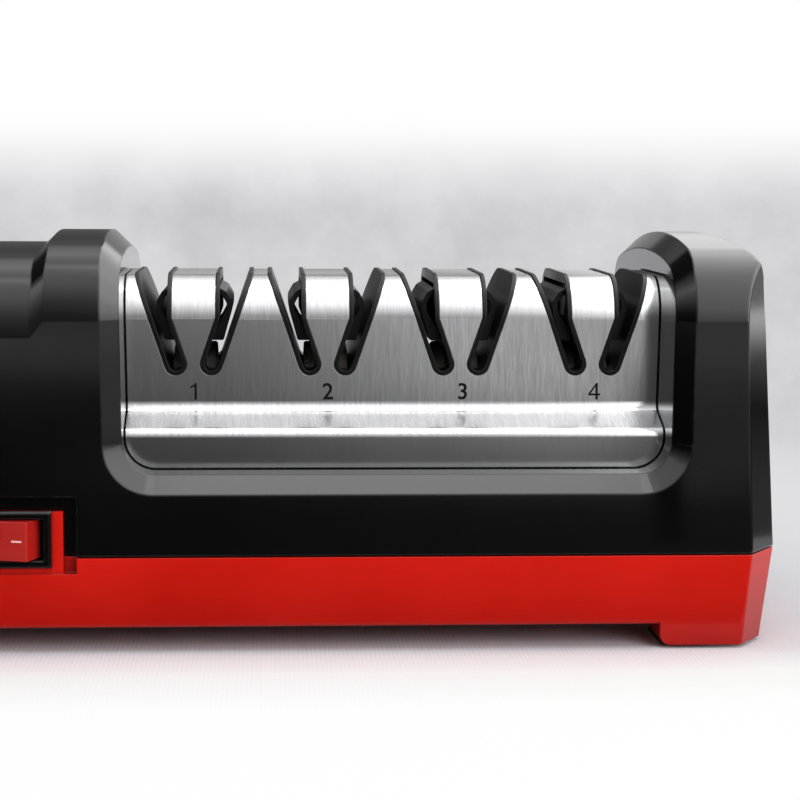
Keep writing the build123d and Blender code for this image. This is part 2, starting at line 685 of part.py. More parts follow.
def make_bracket(name, x, foot_side):
    """Upright plate with a boss for the bush and a foot screwed to its pedestal."""
    half = BRACKET_PLATE / 2
    top = SHAFT_HEIGHT + BUSH_RADIUS + BRACKET_HEAD_WALL
    shoulder = PEDESTAL_TOP + BRACKET_SHOULDER
    face = Polygon(
        (-BRACKET_HALF_DEPTH, PEDESTAL_TOP), (BRACKET_HALF_DEPTH, PEDESTAL_TOP),
        (BRACKET_HALF_DEPTH, shoulder), (BRACKET_HEAD_HALF, top), (-BRACKET_HEAD_HALF, top),
        (-BRACKET_HALF_DEPTH, shoulder), align=None)
    bracket = prism_x(face, x - half, x + half)
    bracket += bracket_foot(x, foot_side, PEDESTAL_TOP, PEDESTAL_TOP + BRACKET_PLATE)
    bracket += rod_x(BUSH_RADIUS + BOSS_WALL, x - BUSH_LENGTH / 2, x + BUSH_LENGTH / 2)
    bracket -= rod_x(BUSH_RADIUS + PIN_FIT, x - BUSH_LENGTH, x + BUSH_LENGTH)
    for screw_x, screw_y in bracket_screw_places(x, foot_side):
        bracket -= rod_z(
            SCREW_RADIUS + SCREW_HOLE_FIT, 0, PEDESTAL_TOP + BRACKET_PLATE + CUT, screw_x, screw_y)
    add(name, bracket)


# ---- motor ----
def make_stator():
    half = STACK_LENGTH / 2
    face = RectangleRounded(2 * STATOR_HALF_DEPTH, STATOR_HEIGHT, STATOR_CORNER) - Circle(BORE_RADIUS)
    room = COIL_SIZE + 2 * COIL_FIT
    for y in (-COIL_OFFSET_Y, COIL_OFFSET_Y):
        for z in (-COIL_OFFSET_Z, COIL_OFFSET_Z):
            face -= Pos(y, z) * Rectangle(room, room)
    add("field_core", prism_x(Pos(0, SHAFT_HEIGHT) * face, STACK_X - half, STACK_X + half))
    coils = []
    size = COIL_SIZE / 2
    near = half + COIL_FIT
    far = near + COIL_OVERHANG
    depth = COIL_OFFSET_Y + size
    for z in (-COIL_OFFSET_Z, COIL_OFFSET_Z):
        height = (SHAFT_HEIGHT + z - size, SHAFT_HEIGHT + z + size)
        ring = block((STACK_X - far, STACK_X + far), (-depth, depth), height)
        ring -= block((STACK_X - near, STACK_X + near), (-depth + COIL_SIZE, depth - COIL_SIZE), height)
        ring = fillet(ring.edges().filter_by(Axis.Z).group_by(Axis.X)[0], COIL_CORNER)
        ring = fillet(ring.edges().filter_by(Axis.Z).group_by(Axis.X)[-1], COIL_CORNER)
        coils.append(ring)
    add("field_coils", coils)


def rotor_slots(width, bottom, top):
    slots = Sketch()
    for i in range(ROTOR_SLOTS):
        slot = Pos((bottom + top) / 2, 0) * Rectangle(top - bottom, width)
        slots += Rot(0, 0, i * 360 / ROTOR_SLOTS) * slot
    return slots


def make_armature():
    half = STACK_LENGTH / 2
    radius = BORE_RADIUS - AIR_GAP
    bottom = radius - ROTOR_SLOT_DEPTH
    place = Pos(0, SHAFT_HEIGHT)
    core = Circle(radius) - Circle(SHAFT_RADIUS) - rotor_slots(ROTOR_SLOT_WIDTH, bottom, radius + CUT)
    add("armature_core", prism_x(place * core, STACK_X - half, STACK_X + half))
    bars = rotor_slots(ROTOR_SLOT_WIDTH - 2 * BAR_FIT, bottom + BAR_FIT, END_TURN_RADIUS)
    reach = half + END_TURN_LENGTH
    winding = prism_x(place * bars, STACK_X - reach, STACK_X + reach)
    for start in (STACK_X - reach, STACK_X + half):
        end = start + END_TURN_LENGTH
        ring = rod_x(END_TURN_RADIUS, start, end)
        winding += ring - rod_x(SHAFT_RADIUS + END_TURN_BORE_GAP, start - CUT, end + CUT)
    add("armature_winding", winding)
    drum = Circle(COMMUTATOR_RADIUS) - Circle(SHAFT_RADIUS)
    groove_bottom = COMMUTATOR_RADIUS - COMMUTATOR_GROOVE_DEPTH
    drum -= rotor_slots(COMMUTATOR_GROOVE, groove_bottom, COMMUTATOR_RADIUS + CUT)
    half_drum = COMMUTATOR_LENGTH / 2
    add("commutator", prism_x(place * drum, COMMUTATOR_X - half_drum, COMMUTATOR_X + half_drum))


def make_fan():
    end = FAN_X + FAN_LENGTH
    fan = rod_x(FAN_RADIUS, FAN_X, FAN_X + FAN_DISC) + rod_x(FAN_HUB, FAN_X, end)
    root = FAN_HUB - CUT
    blades = Sketch()
    for i in range(FAN_BLADES):
        blade = Pos((root + FAN_RADIUS) / 2, 0) * Rectangle(FAN_RADIUS - root, FAN_BLADE)
        blades += Rot(0, 0, i * 360 / FAN_BLADES) * blade
    fan += prism_x(Pos(0, SHAFT_HEIGHT) * blades, FAN_X, end)
    fan &= rod_x(FAN_RADIUS, FAN_X, end)
    fan -= rod_x(SHAFT_RADIUS, FAN_X - CUT, end + CUT)
    add("cooling_fan", fan)


def make_brushes():
    x = COMMUTATOR_X
    brushes = []
    holders = []
    half = BRUSH_SIZE / 2
    gap = half + BRUSH_GAP
    wall = gap + HOLDER_WALL
    near = COMMUTATOR_RADIUS + BRUSH_GAP
    brush_height = (SHAFT_HEIGHT - half, SHAFT_HEIGHT + half)
    for side in (-1, 1):
        brush_y = sorted((side * near, side * (near + BRUSH_LENGTH)))
        brushes.append(block((x - half, x + half), brush_y, brush_height))
        tube_y = sorted((side * (near + HOLDER_START), side * (near + BRUSH_LENGTH + HOLDER_END)))
        tube = block(
            (BRACKET_LEFT_X + BRACKET_PLATE / 2, x + wall), tube_y,
            (SHAFT_HEIGHT - wall, SHAFT_HEIGHT + wall))
        tube -= block(
            (x - gap, x + gap), sorted((0, side * (near + BRUSH_LENGTH + BRUSH_GAP))),
            (SHAFT_HEIGHT - gap, SHAFT_HEIGHT + gap))
        holders.append(tube)
    add("carbon_brushes", brushes)
    add("brush_holders", holders)


# ---- switch and inlet ----
def make_switch():
    plate_front = RISER_FRONT + BEZEL_PLATE
    half_w = BEZEL_WIDTH / 2
    half_h = BEZEL_HEIGHT / 2
    inner_w = half_w - BEZEL_RIM
    inner_h = half_h - BEZEL_RIM
    frame = switch_box(half_w, half_h, half_h, plate_front, RISER_FRONT)
    frame = chamfer(frame.faces().sort_by(Axis.Y)[0].edges(), BEZEL_CHAMFER)
    body_w = half_w - SWITCH_BODY_INSET_X
    body_h = half_h - SWITCH_BODY_INSET_Z
    frame += switch_box(body_w, body_h, body_h, RISER_FRONT, SWITCH_REACH)
    frame -= switch_box(inner_w, inner_h, inner_h, plate_front + CUT, SWITCH_REACH + SWITCH_BACK)
    pivot_y = -RISER_FRONT + ROCKER_PIVOT_DEPTH
    pin_half = inner_h + ROCKER_PIN_REACH
    frame -= rod_z(
        ROCKER_PIN + RUNNING_FIT, SWITCH_HEIGHT - pin_half, SWITCH_HEIGHT + pin_half, SWITCH_X, pivot_y)
    add("switch_housing", frame)
    add("rocker_key", Pos(SWITCH_X, pivot_y, 0) * rocker(inner_w - ROCKER_GAP, inner_h, pin_half))

    tabs = []
    half_tab = TERMINAL_THICKNESS / 2
    for x in (SWITCH_X - TERMINAL_SPACING, SWITCH_X, SWITCH_X + TERMINAL_SPACING):
        tabs.append(block(
            (x - half_tab, x + half_tab), (-SWITCH_REACH, -SWITCH_REACH + TERMINAL_LENGTH),
            (SWITCH_HEIGHT - TERMINAL_HALF, SWITCH_HEIGHT + TERMINAL_HALF)))
    add("switch_terminals", tabs)


def rocker(half, inner_h, pin_half):
    """Rocker key about its pivot: two shallow wings on a skirt, turned to off, and its pin."""
    face_y = ROCKER_PIVOT_DEPTH + BEZEL_PLATE + ROCKER_PROUD
    tip = half - ROCKER_TIP
    tip_y = face_y + tip * tan(radians(ROCKER_ANGLE))
    heel = half - ROCKER_HEEL
    waist = half * ROCKER_WAIST
    shape = Polygon(
        (0, -face_y), (tip, -tip_y), (heel, -ROCKER_SKIRT), (waist, ROCKER_SKIRT),
        (-waist, ROCKER_SKIRT), (-heel, -ROCKER_SKIRT), (-tip, -tip_y), align=None)
    key_h = inner_h - ROCKER_GAP
    key = prism_z(shape, SWITCH_HEIGHT - key_h, SWITCH_HEIGHT + key_h)
    key = fillet(key.edges().filter_by(Axis.Z).group_by(Axis.Y)[0], ROCKER_ROUND)
    reach = pin_half - ROCKER_PIN_END
    key += rod_z(ROCKER_PIN, SWITCH_HEIGHT - reach, SWITCH_HEIGHT + reach, 0, 0)
    return Rot(0, 0, -ROCKER_SWING / 2) * key


def make_inlet():
    place = Pos(INLET_X, INLET_HEIGHT)
    collar = SlotOverall(INLET_WIDTH + 2 * INLET_FLANGE, INLET_TALL + 2 * INLET_FLANGE)
    inlet = prism_y(place * collar, INLET_SEAT, INLET_FACE)
    inlet = chamfer(inlet.faces().sort_by(Axis.Y)[-1].edges(), INLET_CHAMFER)
    inlet += prism_y(place * SlotOverall(INLET_WIDTH, INLET_TALL), INLET_FACE - INLET_DEPTH, INLET_SEAT)
    cavity = SlotOverall(INLET_WIDTH - 2 * INLET_WALL, INLET_TALL - 2 * INLET_WALL)
    inlet -= prism_y(place * cavity, INLET_FLOOR, INLET_FACE + CUT)
    contacts = []
    tail = INLET_FLOOR - CONTACT_TAIL
    for x in (INLET_X - CONTACT_SPACING / 2, INLET_X + CONTACT_SPACING / 2):
        contacts.append(rod_y(CONTACT_RADIUS, tail, INLET_FLOOR + CONTACT_LENGTH, x, INLET_HEIGHT))
        inlet -= rod_y(CONTACT_RADIUS, tail, INLET_FLOOR + CUT, x, INLET_HEIGHT)
    add("power_inlet", inlet)
    add("inlet_contacts", contacts)


def lead(points):
    """Round insulated wire along straight runs joined by arcs."""
    path = FilletPolyline(*points, radius=LEAD_BEND)
    return sweep(Plane(path @ 0, z_dir=path % 0) * Circle(LEAD_RADIUS), path=path)


def make_leads():
    """Inlet to switch, switch to the front brush, and the rear brush back to the inlet."""
    contact_end = INLET_FLOOR - CONTACT_TAIL
    drop_y = contact_end - 2 * LEAD_BEND - LEAD_RUN
    left_contact = INLET_X - CONTACT_SPACING / 2
    right_contact = INLET_X + CONTACT_SPACING / 2
    near_tab = SWITCH_X - TERMINAL_SPACING
    tab_z = SWITCH_HEIGHT - TERMINAL_HALF
    holder_end = COMMUTATOR_RADIUS + BRUSH_GAP + BRUSH_LENGTH + HOLDER_END
    inner_lane = STATOR_HALF_DEPTH + CRADLE_WALL + LEAD_CLEARANCE + LEAD_RADIUS
    outer_lane = inner_lane + LEAD_SPACING
    lower = FLOOR_TOP + LEAD_FLOOR_GAP + LEAD_RADIUS
    upper = lower + LEAD_SPACING
    to_switch = lead([
        (right_contact, contact_end, INLET_HEIGHT), (right_contact, drop_y, INLET_HEIGHT),
        (right_contact, drop_y, lower), (right_contact, -outer_lane, lower),
        (near_tab, -outer_lane, lower), (near_tab, -outer_lane, tab_z)])
    to_front_brush = lead([
        (SWITCH_X, -inner_lane, tab_z), (SWITCH_X, -inner_lane, upper),
        (COMMUTATOR_X, -inner_lane, upper), (COMMUTATOR_X, -inner_lane, SHAFT_HEIGHT),
        (COMMUTATOR_X, -holder_end, SHAFT_HEIGHT)])
    from_rear_brush = lead([
        (left_contact, contact_end, INLET_HEIGHT), (left_contact, drop_y, INLET_HEIGHT),
        (left_contact, drop_y, SHAFT_HEIGHT), (left_contact, holder_end, SHAFT_HEIGHT)])
    add("lead_wires", [to_switch, to_front_brush, from_rear_brush])


# ---- shells ----
def corner_posts():
    x = RIGHT_END - CORNER_POST_INSET_X
    y = FRONT - CORNER_POST_INSET_Y
    return [(sx * x, sy * y) for sx in (-1, 1) for sy in (-1, 1)]


def middle_posts():
    y = FRONT - MIDDLE_POST_INSET_Y
    return [(WINDOW_X, -y), (WINDOW_X, y)]


def window_rim(shell):
    """Edges where the window meets the outer faces, shoulders and crown."""
    reach = WINDOW_HALF + WINDOW_LIP
    upper = [e for e in shell.edges() if e.center().Z > SEAM_HEIGHT + WALL]
    near = [e for e in upper if abs(e.center().X - WINDOW_X) < reach]
    return [e for e in near if e.geom_type == GeomType.ELLIPSE or abs(e.tangent_at(0.5).Y) < 0.9]


def screw_posts():
    """Posts that hang from the upper housing, down to the bosses of the base."""
    posts = [rod_z(POST_RADIUS, POST_FOOT, ARCH_TOP, x, y) for x, y in corner_posts()]
    posts += [rod_z(POST_RADIUS, POST_FOOT, WINDOW_FLOOR, x, y) for x, y in middle_posts()]
    return posts


def riser_top():
    return BEZEL_HEIGHT / 2 + RISER_TOP_MARGIN


def make_upper_housing():
    shell = (round_creases(body_hull(0)) - window_prism(0)).solids()[0]
    shell = chamfer(window_rim(shell), WINDOW_BEVEL)
    void = body_hull(WALL) - window_prism(WINDOW_WALL)
    low_posts = []
    for post in screw_posts():
        void -= post
        low_posts.append(post - above(SEAM_HEIGHT + CUT))
    half = POCKET_HALF + POCKET_WALL
    backing = switch_box(half, POCKET_DROP, POCKET_RAISE + POCKET_WALL, FAR, POCKET_FLOOR - POCKET_WALL)
    shell -= void - (backing & above(SEAM_HEIGHT))
    for post in low_posts:
        shell += post
    shell -= switch_box(POCKET_HALF, POCKET_DROP, POCKET_RAISE, FAR, POCKET_FLOOR)
    riser = RISER_HALF + SWITCH_FIT
    shell -= switch_box(riser, POCKET_DROP, riser_top() + SWITCH_FIT, FAR, SWITCH_REACH)
    opening = WINDOW_HALF - WINDOW_LIP
    under = WINDOW_FLOOR - WINDOW_WALL - CUT
    shell -= block(
        (WINDOW_X - opening, WINDOW_X + opening), (-COVER_OPENING, COVER_OPENING),
        (under, WINDOW_FLOOR + CUT))
    notch = WINDOW_HALF + WINDOW_WALL + NOTCH_REACH
    shell -= block(
        (WINDOW_X - notch, WINDOW_X + notch), (-HUB_RADIUS, HUB_RADIUS),
        (under, SHAFT_HEIGHT + HUB_RADIUS))
    for x, y in corner_posts() + middle_posts():
        shell -= rod_z(SCREW_RADIUS + SCREW_HOLE_FIT, POST_FOOT - CUT, POST_FOOT + SCREW_GRIP + 2 * CUT, x, y)
    lip = 2 * (INLET_FLANGE + INLET_SEAT_GAP)
    seat = SlotOverall(INLET_WIDTH + lip, INLET_TALL + lip)
    hole = SlotOverall(INLET_WIDTH + 2 * INLET_FIT, INLET_TALL + 2 * INLET_FIT)
    place = Pos(INLET_X, INLET_HEIGHT)
    shell -= prism_y(place * seat, INLET_SEAT, FAR)
    shell -= prism_y(place * hole, INLET_FACE - INLET_DEPTH, INLET_SEAT + CUT)
    for row in range(VENT_ROWS):
        vent = Pos(0, VENT_HEIGHT + row * VENT_PITCH) * SlotOverall(VENT_LENGTH, VENT_WIDTH)
        shell -= prism_x(vent, 2 * LEFT_END, LEFT_END + 4 * WALL)
    add("upper_housing", shell)


def base_layer(height, inset):
    """Plan of the base at a height, drawn in from the seam by its draft and by inset."""
    draw = (SEAM_HEIGHT - height) * tan(radians(BASE_DRAFT)) + inset
    return Plane.XY.offset(height) * body_plan(draw)


def base_block(low, high, inset):
    return loft([base_layer(low, inset), base_layer(high, inset)], ruled=True)


def foot_places():
    x = RIGHT_END - FOOT_INSET - FOOT_LENGTH / 2
    y = FRONT - FOOT_INSET - FOOT_DEPTH / 2
    return [(sx * x, sy * y) for sx in (-1, 1) for sy in (-1, 1)]


def pad_places():
    return [(x - PAD_SHIFT if x > 0 else x + PAD_SHIFT, y) for x, y in foot_places()]


def make_feet():
    """Four corner feet with the base's draft outside and a round inner edge."""
    top = BELLY_HEIGHT + FOOT_ROOT
    deep = round_corners(base_block(FOOT_BOTTOM, top, 0))
    inner_x = RIGHT_END - FOOT_INSET - FOOT_LENGTH
    inner_y = FRONT - FOOT_INSET - FOOT_DEPTH
    feet = []
    for sx in (-1, 1):
        for sy in (-1, 1):
            room = block(
                sorted((sx * inner_x, sx * BODY_LENGTH)), sorted((sy * inner_y, sy * BODY_DEPTH)),
                (FOOT_BOTTOM - CUT, top))
            foot = deep & room
            low_edges = foot.edges().filter_by(Axis.Y).group_by(Axis.Z)[0]
            inner = low_edges.sort_by(lambda e: abs(e.center().X))[0]
            feet.append(fillet(inner, FOOT_ROUND))
    return feet


def make_tongue():
    """Lip that stands up from the base inside the upper housing, cut round posts and switch."""
    low = RIM_TOP - TONGUE_DEPTH
    high = SEAM_HEIGHT + TONGUE_HEIGHT
    outer = WALL + SHELL_FIT
    tongue = prism_z(body_plan(outer), low, high)
    tongue -= prism_z(body_plan(outer + TONGUE_THICKNESS), low - CUT, high + CUT)
    lean = TONGUE_HEIGHT * tan(radians(END_DRAFT))
    upper = prism_z(body_plan(outer + lean), SEAM_HEIGHT - CUT, high)
    tongue &= base_block(BELLY_HEIGHT, SEAM_HEIGHT, 0) + upper
    for x, y in corner_posts() + middle_posts():
        tongue -= rod_z(POST_RADIUS + POST_BOSS_WALL, 0, FAR, x, y)
    gap = POCKET_HALF + POCKET_WALL + SWITCH_FIT
    tongue -= switch_box(gap, POCKET_DROP, FAR, FAR, POCKET_FLOOR - 3 * POCKET_WALL)
    return tongue


def motor_cradle():
    """Two ribs on the floor that the stator's lower corners rest in."""
    half = STACK_LENGTH / 2
    outer = STATOR_HALF_DEPTH + CRADLE_WALL
    inner = STATOR_HALF_DEPTH - CRADLE_RIB
    top = SHAFT_HEIGHT - STATOR_HEIGHT / 2 + CRADLE_RISE
    ribs = block((STACK_X - half, STACK_X + half), (-outer, outer), (FLOOR_TOP - CUT, top))
    ribs -= block((STACK_X - half - CUT, STACK_X + half + CUT), (-inner, inner), (0, top + CUT))
    stator = RectangleRounded(2 * (STATOR_HALF_DEPTH + SHELL_FIT), STATOR_HEIGHT, STATOR_CORNER)
    return ribs - prism_x(Pos(0, SHAFT_HEIGHT) * stator, STACK_X - half - CUT, STACK_X + half + CUT)


def switch_riser():
    """Wall and plinth of the base that carry the switch, and the pocket round them."""
    back = RISER_FRONT - RISER_THICKNESS
    riser = switch_box(RISER_HALF, POCKET_DROP, riser_top(), RISER_FRONT, back)
    riser += switch_box(
        POCKET_HALF + POCKET_WALL, POCKET_DROP + POCKET_WALL, RIM_TOP - SWITCH_HEIGHT, POCKET_FLOOR, back)
    return riser


def make_base():
    base = round_corners(base_block(BELLY_HEIGHT, RIM_TOP, 0))
    base = fillet(base.faces().sort_by(Axis.Z)[0].edges(), BELLY_ROUND)
    for foot in make_feet():
        base += foot
    base -= base_block(FLOOR_TOP, RIM_TOP, WALL + TONGUE_THICKNESS)
    base += make_tongue()
    base -= switch_box(POCKET_HALF, POCKET_DROP, POCKET_RAISE, FAR, POCKET_FLOOR)
    base += switch_riser()
    body_w = BEZEL_WIDTH / 2 - SWITCH_BODY_INSET_X + SWITCH_FIT
    body_h = BEZEL_HEIGHT / 2 - SWITCH_BODY_INSET_Z + SWITCH_FIT
    base -= switch_box(body_w, body_h, body_h, FAR, SWITCH_REACH - SWITCH_FIT)
    for name, x, foot_side in BRACKETS:
        base += bracket_foot(x, foot_side, FLOOR_TOP - CUT, PEDESTAL_TOP)
    base += motor_cradle()
    for x, y in corner_posts() + middle_posts():
        base += rod_z(POST_RADIUS + POST_BOSS_WALL, FLOOR_TOP - CUT, POST_FOOT, x, y)
    for x, y in corner_posts() + middle_posts():
        base -= rod_z(SCREW_RADIUS + 2 * SCREW_HOLE_FIT, 0, ARCH_TOP, x, y)
        base -= rod_z(SCREW_HEAD_RADIUS + SHELL_FIT, -CUT, screw_head_floor(x) + SCREW_HEAD_HEIGHT, x, y)
    for name, x, foot_side in BRACKETS:
        for screw_x, screw_y in bracket_screw_places(x, foot_side):
            base -= rod_z(SCREW_RADIUS + SCREW_HOLE_FIT, FLOOR_TOP, PEDESTAL_TOP + CUT, screw_x, screw_y)
    for x, y in pad_places():
        seat = RectangleRounded(PAD_SIZE_X + 2 * PAD_FIT, PAD_SIZE_Y + 2 * PAD_FIT, PAD_CORNER)
        base -= prism_z(Pos(x, y) * seat, 0, PAD_THICKNESS - PAD_PROUD + FOOT_BOTTOM)
    for i in range(BELLY_VENTS):
        x = STACK_X + (i - (BELLY_VENTS - 1) / 2) * BELLY_VENT_PITCH
        vent = Pos(x, 0) * Rot(0, 0, 90) * SlotOverall(BELLY_VENT_LENGTH, VENT_WIDTH)
        base -= prism_z(vent, 0, FLOOR_TOP + CUT)
    add("base_tray", base)


def screw_head_floor(x):
    """Height at which a housing screw's head starts, in its counterbore."""
    in_foot = abs(x) > RIGHT_END - FOOT_INSET - FOOT_LENGTH
    return FOOT_BOTTOM + FOOT_SCREW_DEPTH if in_foot else FLOOR_TOP - SCREW_HEAD_HEIGHT


def make_pads():
    pads = []
    low = FOOT_BOTTOM - PAD_PROUD
    for x, y in pad_places():
        face = Pos(x, y) * RectangleRounded(PAD_SIZE_X, PAD_SIZE_Y, PAD_CORNER)
        pad = prism_z(face, low, low + PAD_THICKNESS)
        pads.append(chamfer(pad.faces().sort_by(Axis.Z)[0].edges(), PAD_CHAMFER))
    add("foot_pads", pads)


def housing_screw(x, y):
    head = screw_head_floor(x)
    body = rod_z(SCREW_RADIUS, head, POST_FOOT + SCREW_GRIP, x, y)
    body += rod_z(SCREW_HEAD_RADIUS, head, head + SCREW_HEAD_HEIGHT, x, y)
    cross = Rectangle(SCREW_RECESS_LENGTH, SCREW_RECESS_WIDTH)
    cross += Rectangle(SCREW_RECESS_WIDTH, SCREW_RECESS_LENGTH)
    return body - prism_z(Pos(x, y) * cross, head - CUT, head + SCREW_RECESS_DEPTH)


def bracket_screw(x, y):
    top = PEDESTAL_TOP + BRACKET_PLATE
    screw = rod_z(SCREW_RADIUS, FLOOR_TOP + CUT, top + CUT, x, y)
    return screw + rod_z(SCREW_HEAD_RADIUS, top, top + SCREW_HEAD_HEIGHT, x, y)


def make_screws():
    add("housing_screws", [housing_screw(x, y) for x, y in corner_posts() + middle_posts()])
    bracket_screws = []
    for name, x, foot_side in BRACKETS:
        bracket_screws += [bracket_screw(sx, sy) for sx, sy in bracket_screw_places(x, foot_side)]
    add("bracket_screws", bracket_screws)


def export_all():
    os.makedirs("parts", exist_ok=True)
    for name, shape in parts.items():
        items = shape if isinstance(shape, list) else [shape]
        solids = [solid for item in items for solid in item.solids()]
        whole = solids[0] if len(solids) == 1 else Compound(children=solids)
        export_step(whole, f"parts/{name}.step")
        print(name, len(solids))


make_base()
make_pads()
make_upper_housing()
make_steel_cover()
for index, stage_x in enumerate(STAGE_CENTRES):
    number = index + 1
    make_guide(number, stage_x)
    make_wheel_spring(number, stage_x)
    for side, name in ((-1, "left"), (1, "right")):
        make_blade_spring(number, stage_x, side, name)
        make_wheel(number, stage_x, side, name)
make_shaft()
make_armature()
make_fan()
make_stator()
make_brushes()
make_bushes()
for name, x, foot_side in BRACKETS:
    make_bracket(name, x, foot_side)
make_switch()
make_inlet()
make_leads()
make_screws()
export_all()
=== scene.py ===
import json
from math import pi, radians

import bpy
from mathutils import Matrix, Vector


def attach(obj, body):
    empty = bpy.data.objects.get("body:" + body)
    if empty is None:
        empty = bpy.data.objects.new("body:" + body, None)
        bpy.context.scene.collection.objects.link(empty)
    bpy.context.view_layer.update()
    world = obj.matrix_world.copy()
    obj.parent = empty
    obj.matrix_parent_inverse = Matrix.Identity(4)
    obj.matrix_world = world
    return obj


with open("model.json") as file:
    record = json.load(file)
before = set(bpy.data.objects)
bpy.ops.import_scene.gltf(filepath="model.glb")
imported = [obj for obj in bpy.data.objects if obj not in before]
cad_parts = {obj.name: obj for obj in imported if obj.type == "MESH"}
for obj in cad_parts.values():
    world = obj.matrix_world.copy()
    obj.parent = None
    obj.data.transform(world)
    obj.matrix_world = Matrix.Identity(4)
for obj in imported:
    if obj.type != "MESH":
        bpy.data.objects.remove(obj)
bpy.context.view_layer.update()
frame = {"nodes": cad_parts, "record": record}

# Electric knife sharpener: finishes, printed marks, studio and camera.
# Metres. +X runs from the motor end to the stages, -Y is the user's side, +Z is up.

MM = 0.001

# ---- stage numerals on the steel cover ----
COVER_FACE_Y = -29.0 * MM
NUMERAL_CENTRES = [-19.5 * MM, 17.6 * MM, 55.1 * MM, 92.1 * MM]
NUMERAL_FOOT = 65.27 * MM
NUMERAL_HEIGHT = 4.62 * MM
INK_THICKNESS = 0.06 * MM
TYPE_BOLDNESS = 0.013

# The 1 and the 4 are drawn as shares of their height, to the left from the right edge of the stem.
STEM_WIDTH = 0.145
ONE_TOP_WIDTH = 0.10
FLAG_WIDTH = 0.39
FLAG_FOOT = 0.68
FLAG_TIP = 0.80
FLAG_ELBOW = (-0.21, 0.88)
FLAG_ROOT = 0.79
FOUR_TOP_WIDTH = 0.105
ARM_FOOT = 0.24
ARM_TOP = 0.36
ARM_LEFT = 0.57
ARM_RIGHT = 0.145
HOLE_LEFT = 0.44
HOLE_TOP = 0.78

# ---- marks on the rocker key ----
DASH_CENTRE = (-64.85 * MM, -60.905 * MM, 31.29 * MM)
DASH_SIZE = (2.8 * MM, 0.5 * MM)
DASH_TURN = radians(-16.0)
RING_CENTRE = (-72.6 * MM, -59.63 * MM, 31.29 * MM)
RING_RADIUS = 1.35 * MM
RING_LINE = 0.38 * MM

# ---- grinding wheels ----
SHAFT_HEIGHT = 51.0 * MM
HUB_RADIUS = 9.0 * MM
GRIT_RADIUS = 9.6 * MM
RIM_START = 26.0 * MM
RIM_FULL = 28.0 * MM

# ---- motor ----
WIRE_PITCH = 1.184 * MM
LAMINATION_PITCH = 0.982 * MM

# ---- nodes ----
# Length of one band of the wave texture at a scale of 1.
WAVE_LENGTH = pi / 10.0


def put(tree, kind, inputs=None, **settings):
    """Adds a node, sets its options, then links or fills its inputs by name or number."""
    made = tree.nodes.new(kind)
    for name, value in settings.items():
        setattr(made, name, value)
    for name, value in (inputs or {}).items():
        if isinstance(value, bpy.types.NodeSocket):
            tree.links.new(value, made.inputs[name])
        else:
            made.inputs[name].default_value = value
    return made


def reckon(tree, operation, a, b=0.0):
    return put(tree, "ShaderNodeMath", {0: a, 1: b}, operation=operation).outputs[0]


def plus(tree, a, b):
    return reckon(tree, "ADD", a, b)


def times(tree, a, b):
    return reckon(tree, "MULTIPLY", a, b)


def distance(tree, a, b):
    """Length of the line that covers two distances at right angles."""
    squares = plus(tree, reckon(tree, "POWER", a, 2.0), reckon(tree, "POWER", b, 2.0))
    return reckon(tree, "SQRT", squares)


def spread(tree, value, low, high, out_low=0.0, out_high=1.0):
    """Maps a value from one range to another and holds it inside the new one."""
    ends = {"Value": value, "From Min": low, "From Max": high, "To Min": out_low, "To Max": out_high}
    return put(tree, "ShaderNodeMapRange", ends).outputs["Result"]


def blend(tree, factor, a, b):
    return put(tree, "ShaderNodeMix", {"Factor": factor, "A": a, "B": b}).outputs[0]


def blend_colour(tree, factor, a, b):
    made = put(tree, "ShaderNodeMix", {"Factor": factor}, data_type="RGBA")
    for place, value in ((6, a), (7, b)):
        if isinstance(value, bpy.types.NodeSocket):
            tree.links.new(value, made.inputs[place])
        else:
            made.inputs[place].default_value = (*value, 1.0)
    return made.outputs[2]


def blend_shader(tree, factor, a, b):
    return put(tree, "ShaderNodeMixShader", {0: factor, 1: a, 2: b}).outputs[0]


def place_on_piece(tree):
    return put(tree, "ShaderNodeTexCoord").outputs["Object"]


def split(tree, vector):
    return put(tree, "ShaderNodeSeparateXYZ", {0: vector}).outputs


def noise(tree, where, scale, detail=2.0, roughness=0.5):
    values = {"Vector": where, "Scale": scale, "Detail": detail, "Roughness": roughness}
    return put(tree, "ShaderNodeTexNoise", values).outputs["Fac"]


def bands(tree, where, pitch, axis, distortion=0.0, detail=2.0, detail_scale=1.0):
    """Even waves side by side along one axis."""
    values = {"Vector": where, "Scale": WAVE_LENGTH / pitch, "Distortion": distortion, "Detail": detail,
              "Detail Scale": detail_scale}
    return put(tree, "ShaderNodeTexWave", values, bands_direction=axis).outputs["Fac"]


def open_group(name, inputs, outputs):
    """A shader node group with number inputs; returns the group and its inner ends."""
    group = bpy.data.node_groups.new(name, "ShaderNodeTree")
    for label, value in inputs:
        socket = group.interface.new_socket(label, in_out="INPUT", socket_type="NodeSocketFloat")
        socket.default_value = value
    for label, kind in outputs:
        group.interface.new_socket(label, in_out="OUTPUT", socket_type=kind)
    return group, group.nodes.new("NodeGroupInput").outputs, group.nodes.new("NodeGroupOutput").inputs


def place_group(tree, group, **values):
    made = put(tree, "ShaderNodeGroup", node_tree=group)
    for name, value in values.items():
        made.inputs[name.replace("_", " ").capitalize()].default_value = value
    return made.outputs


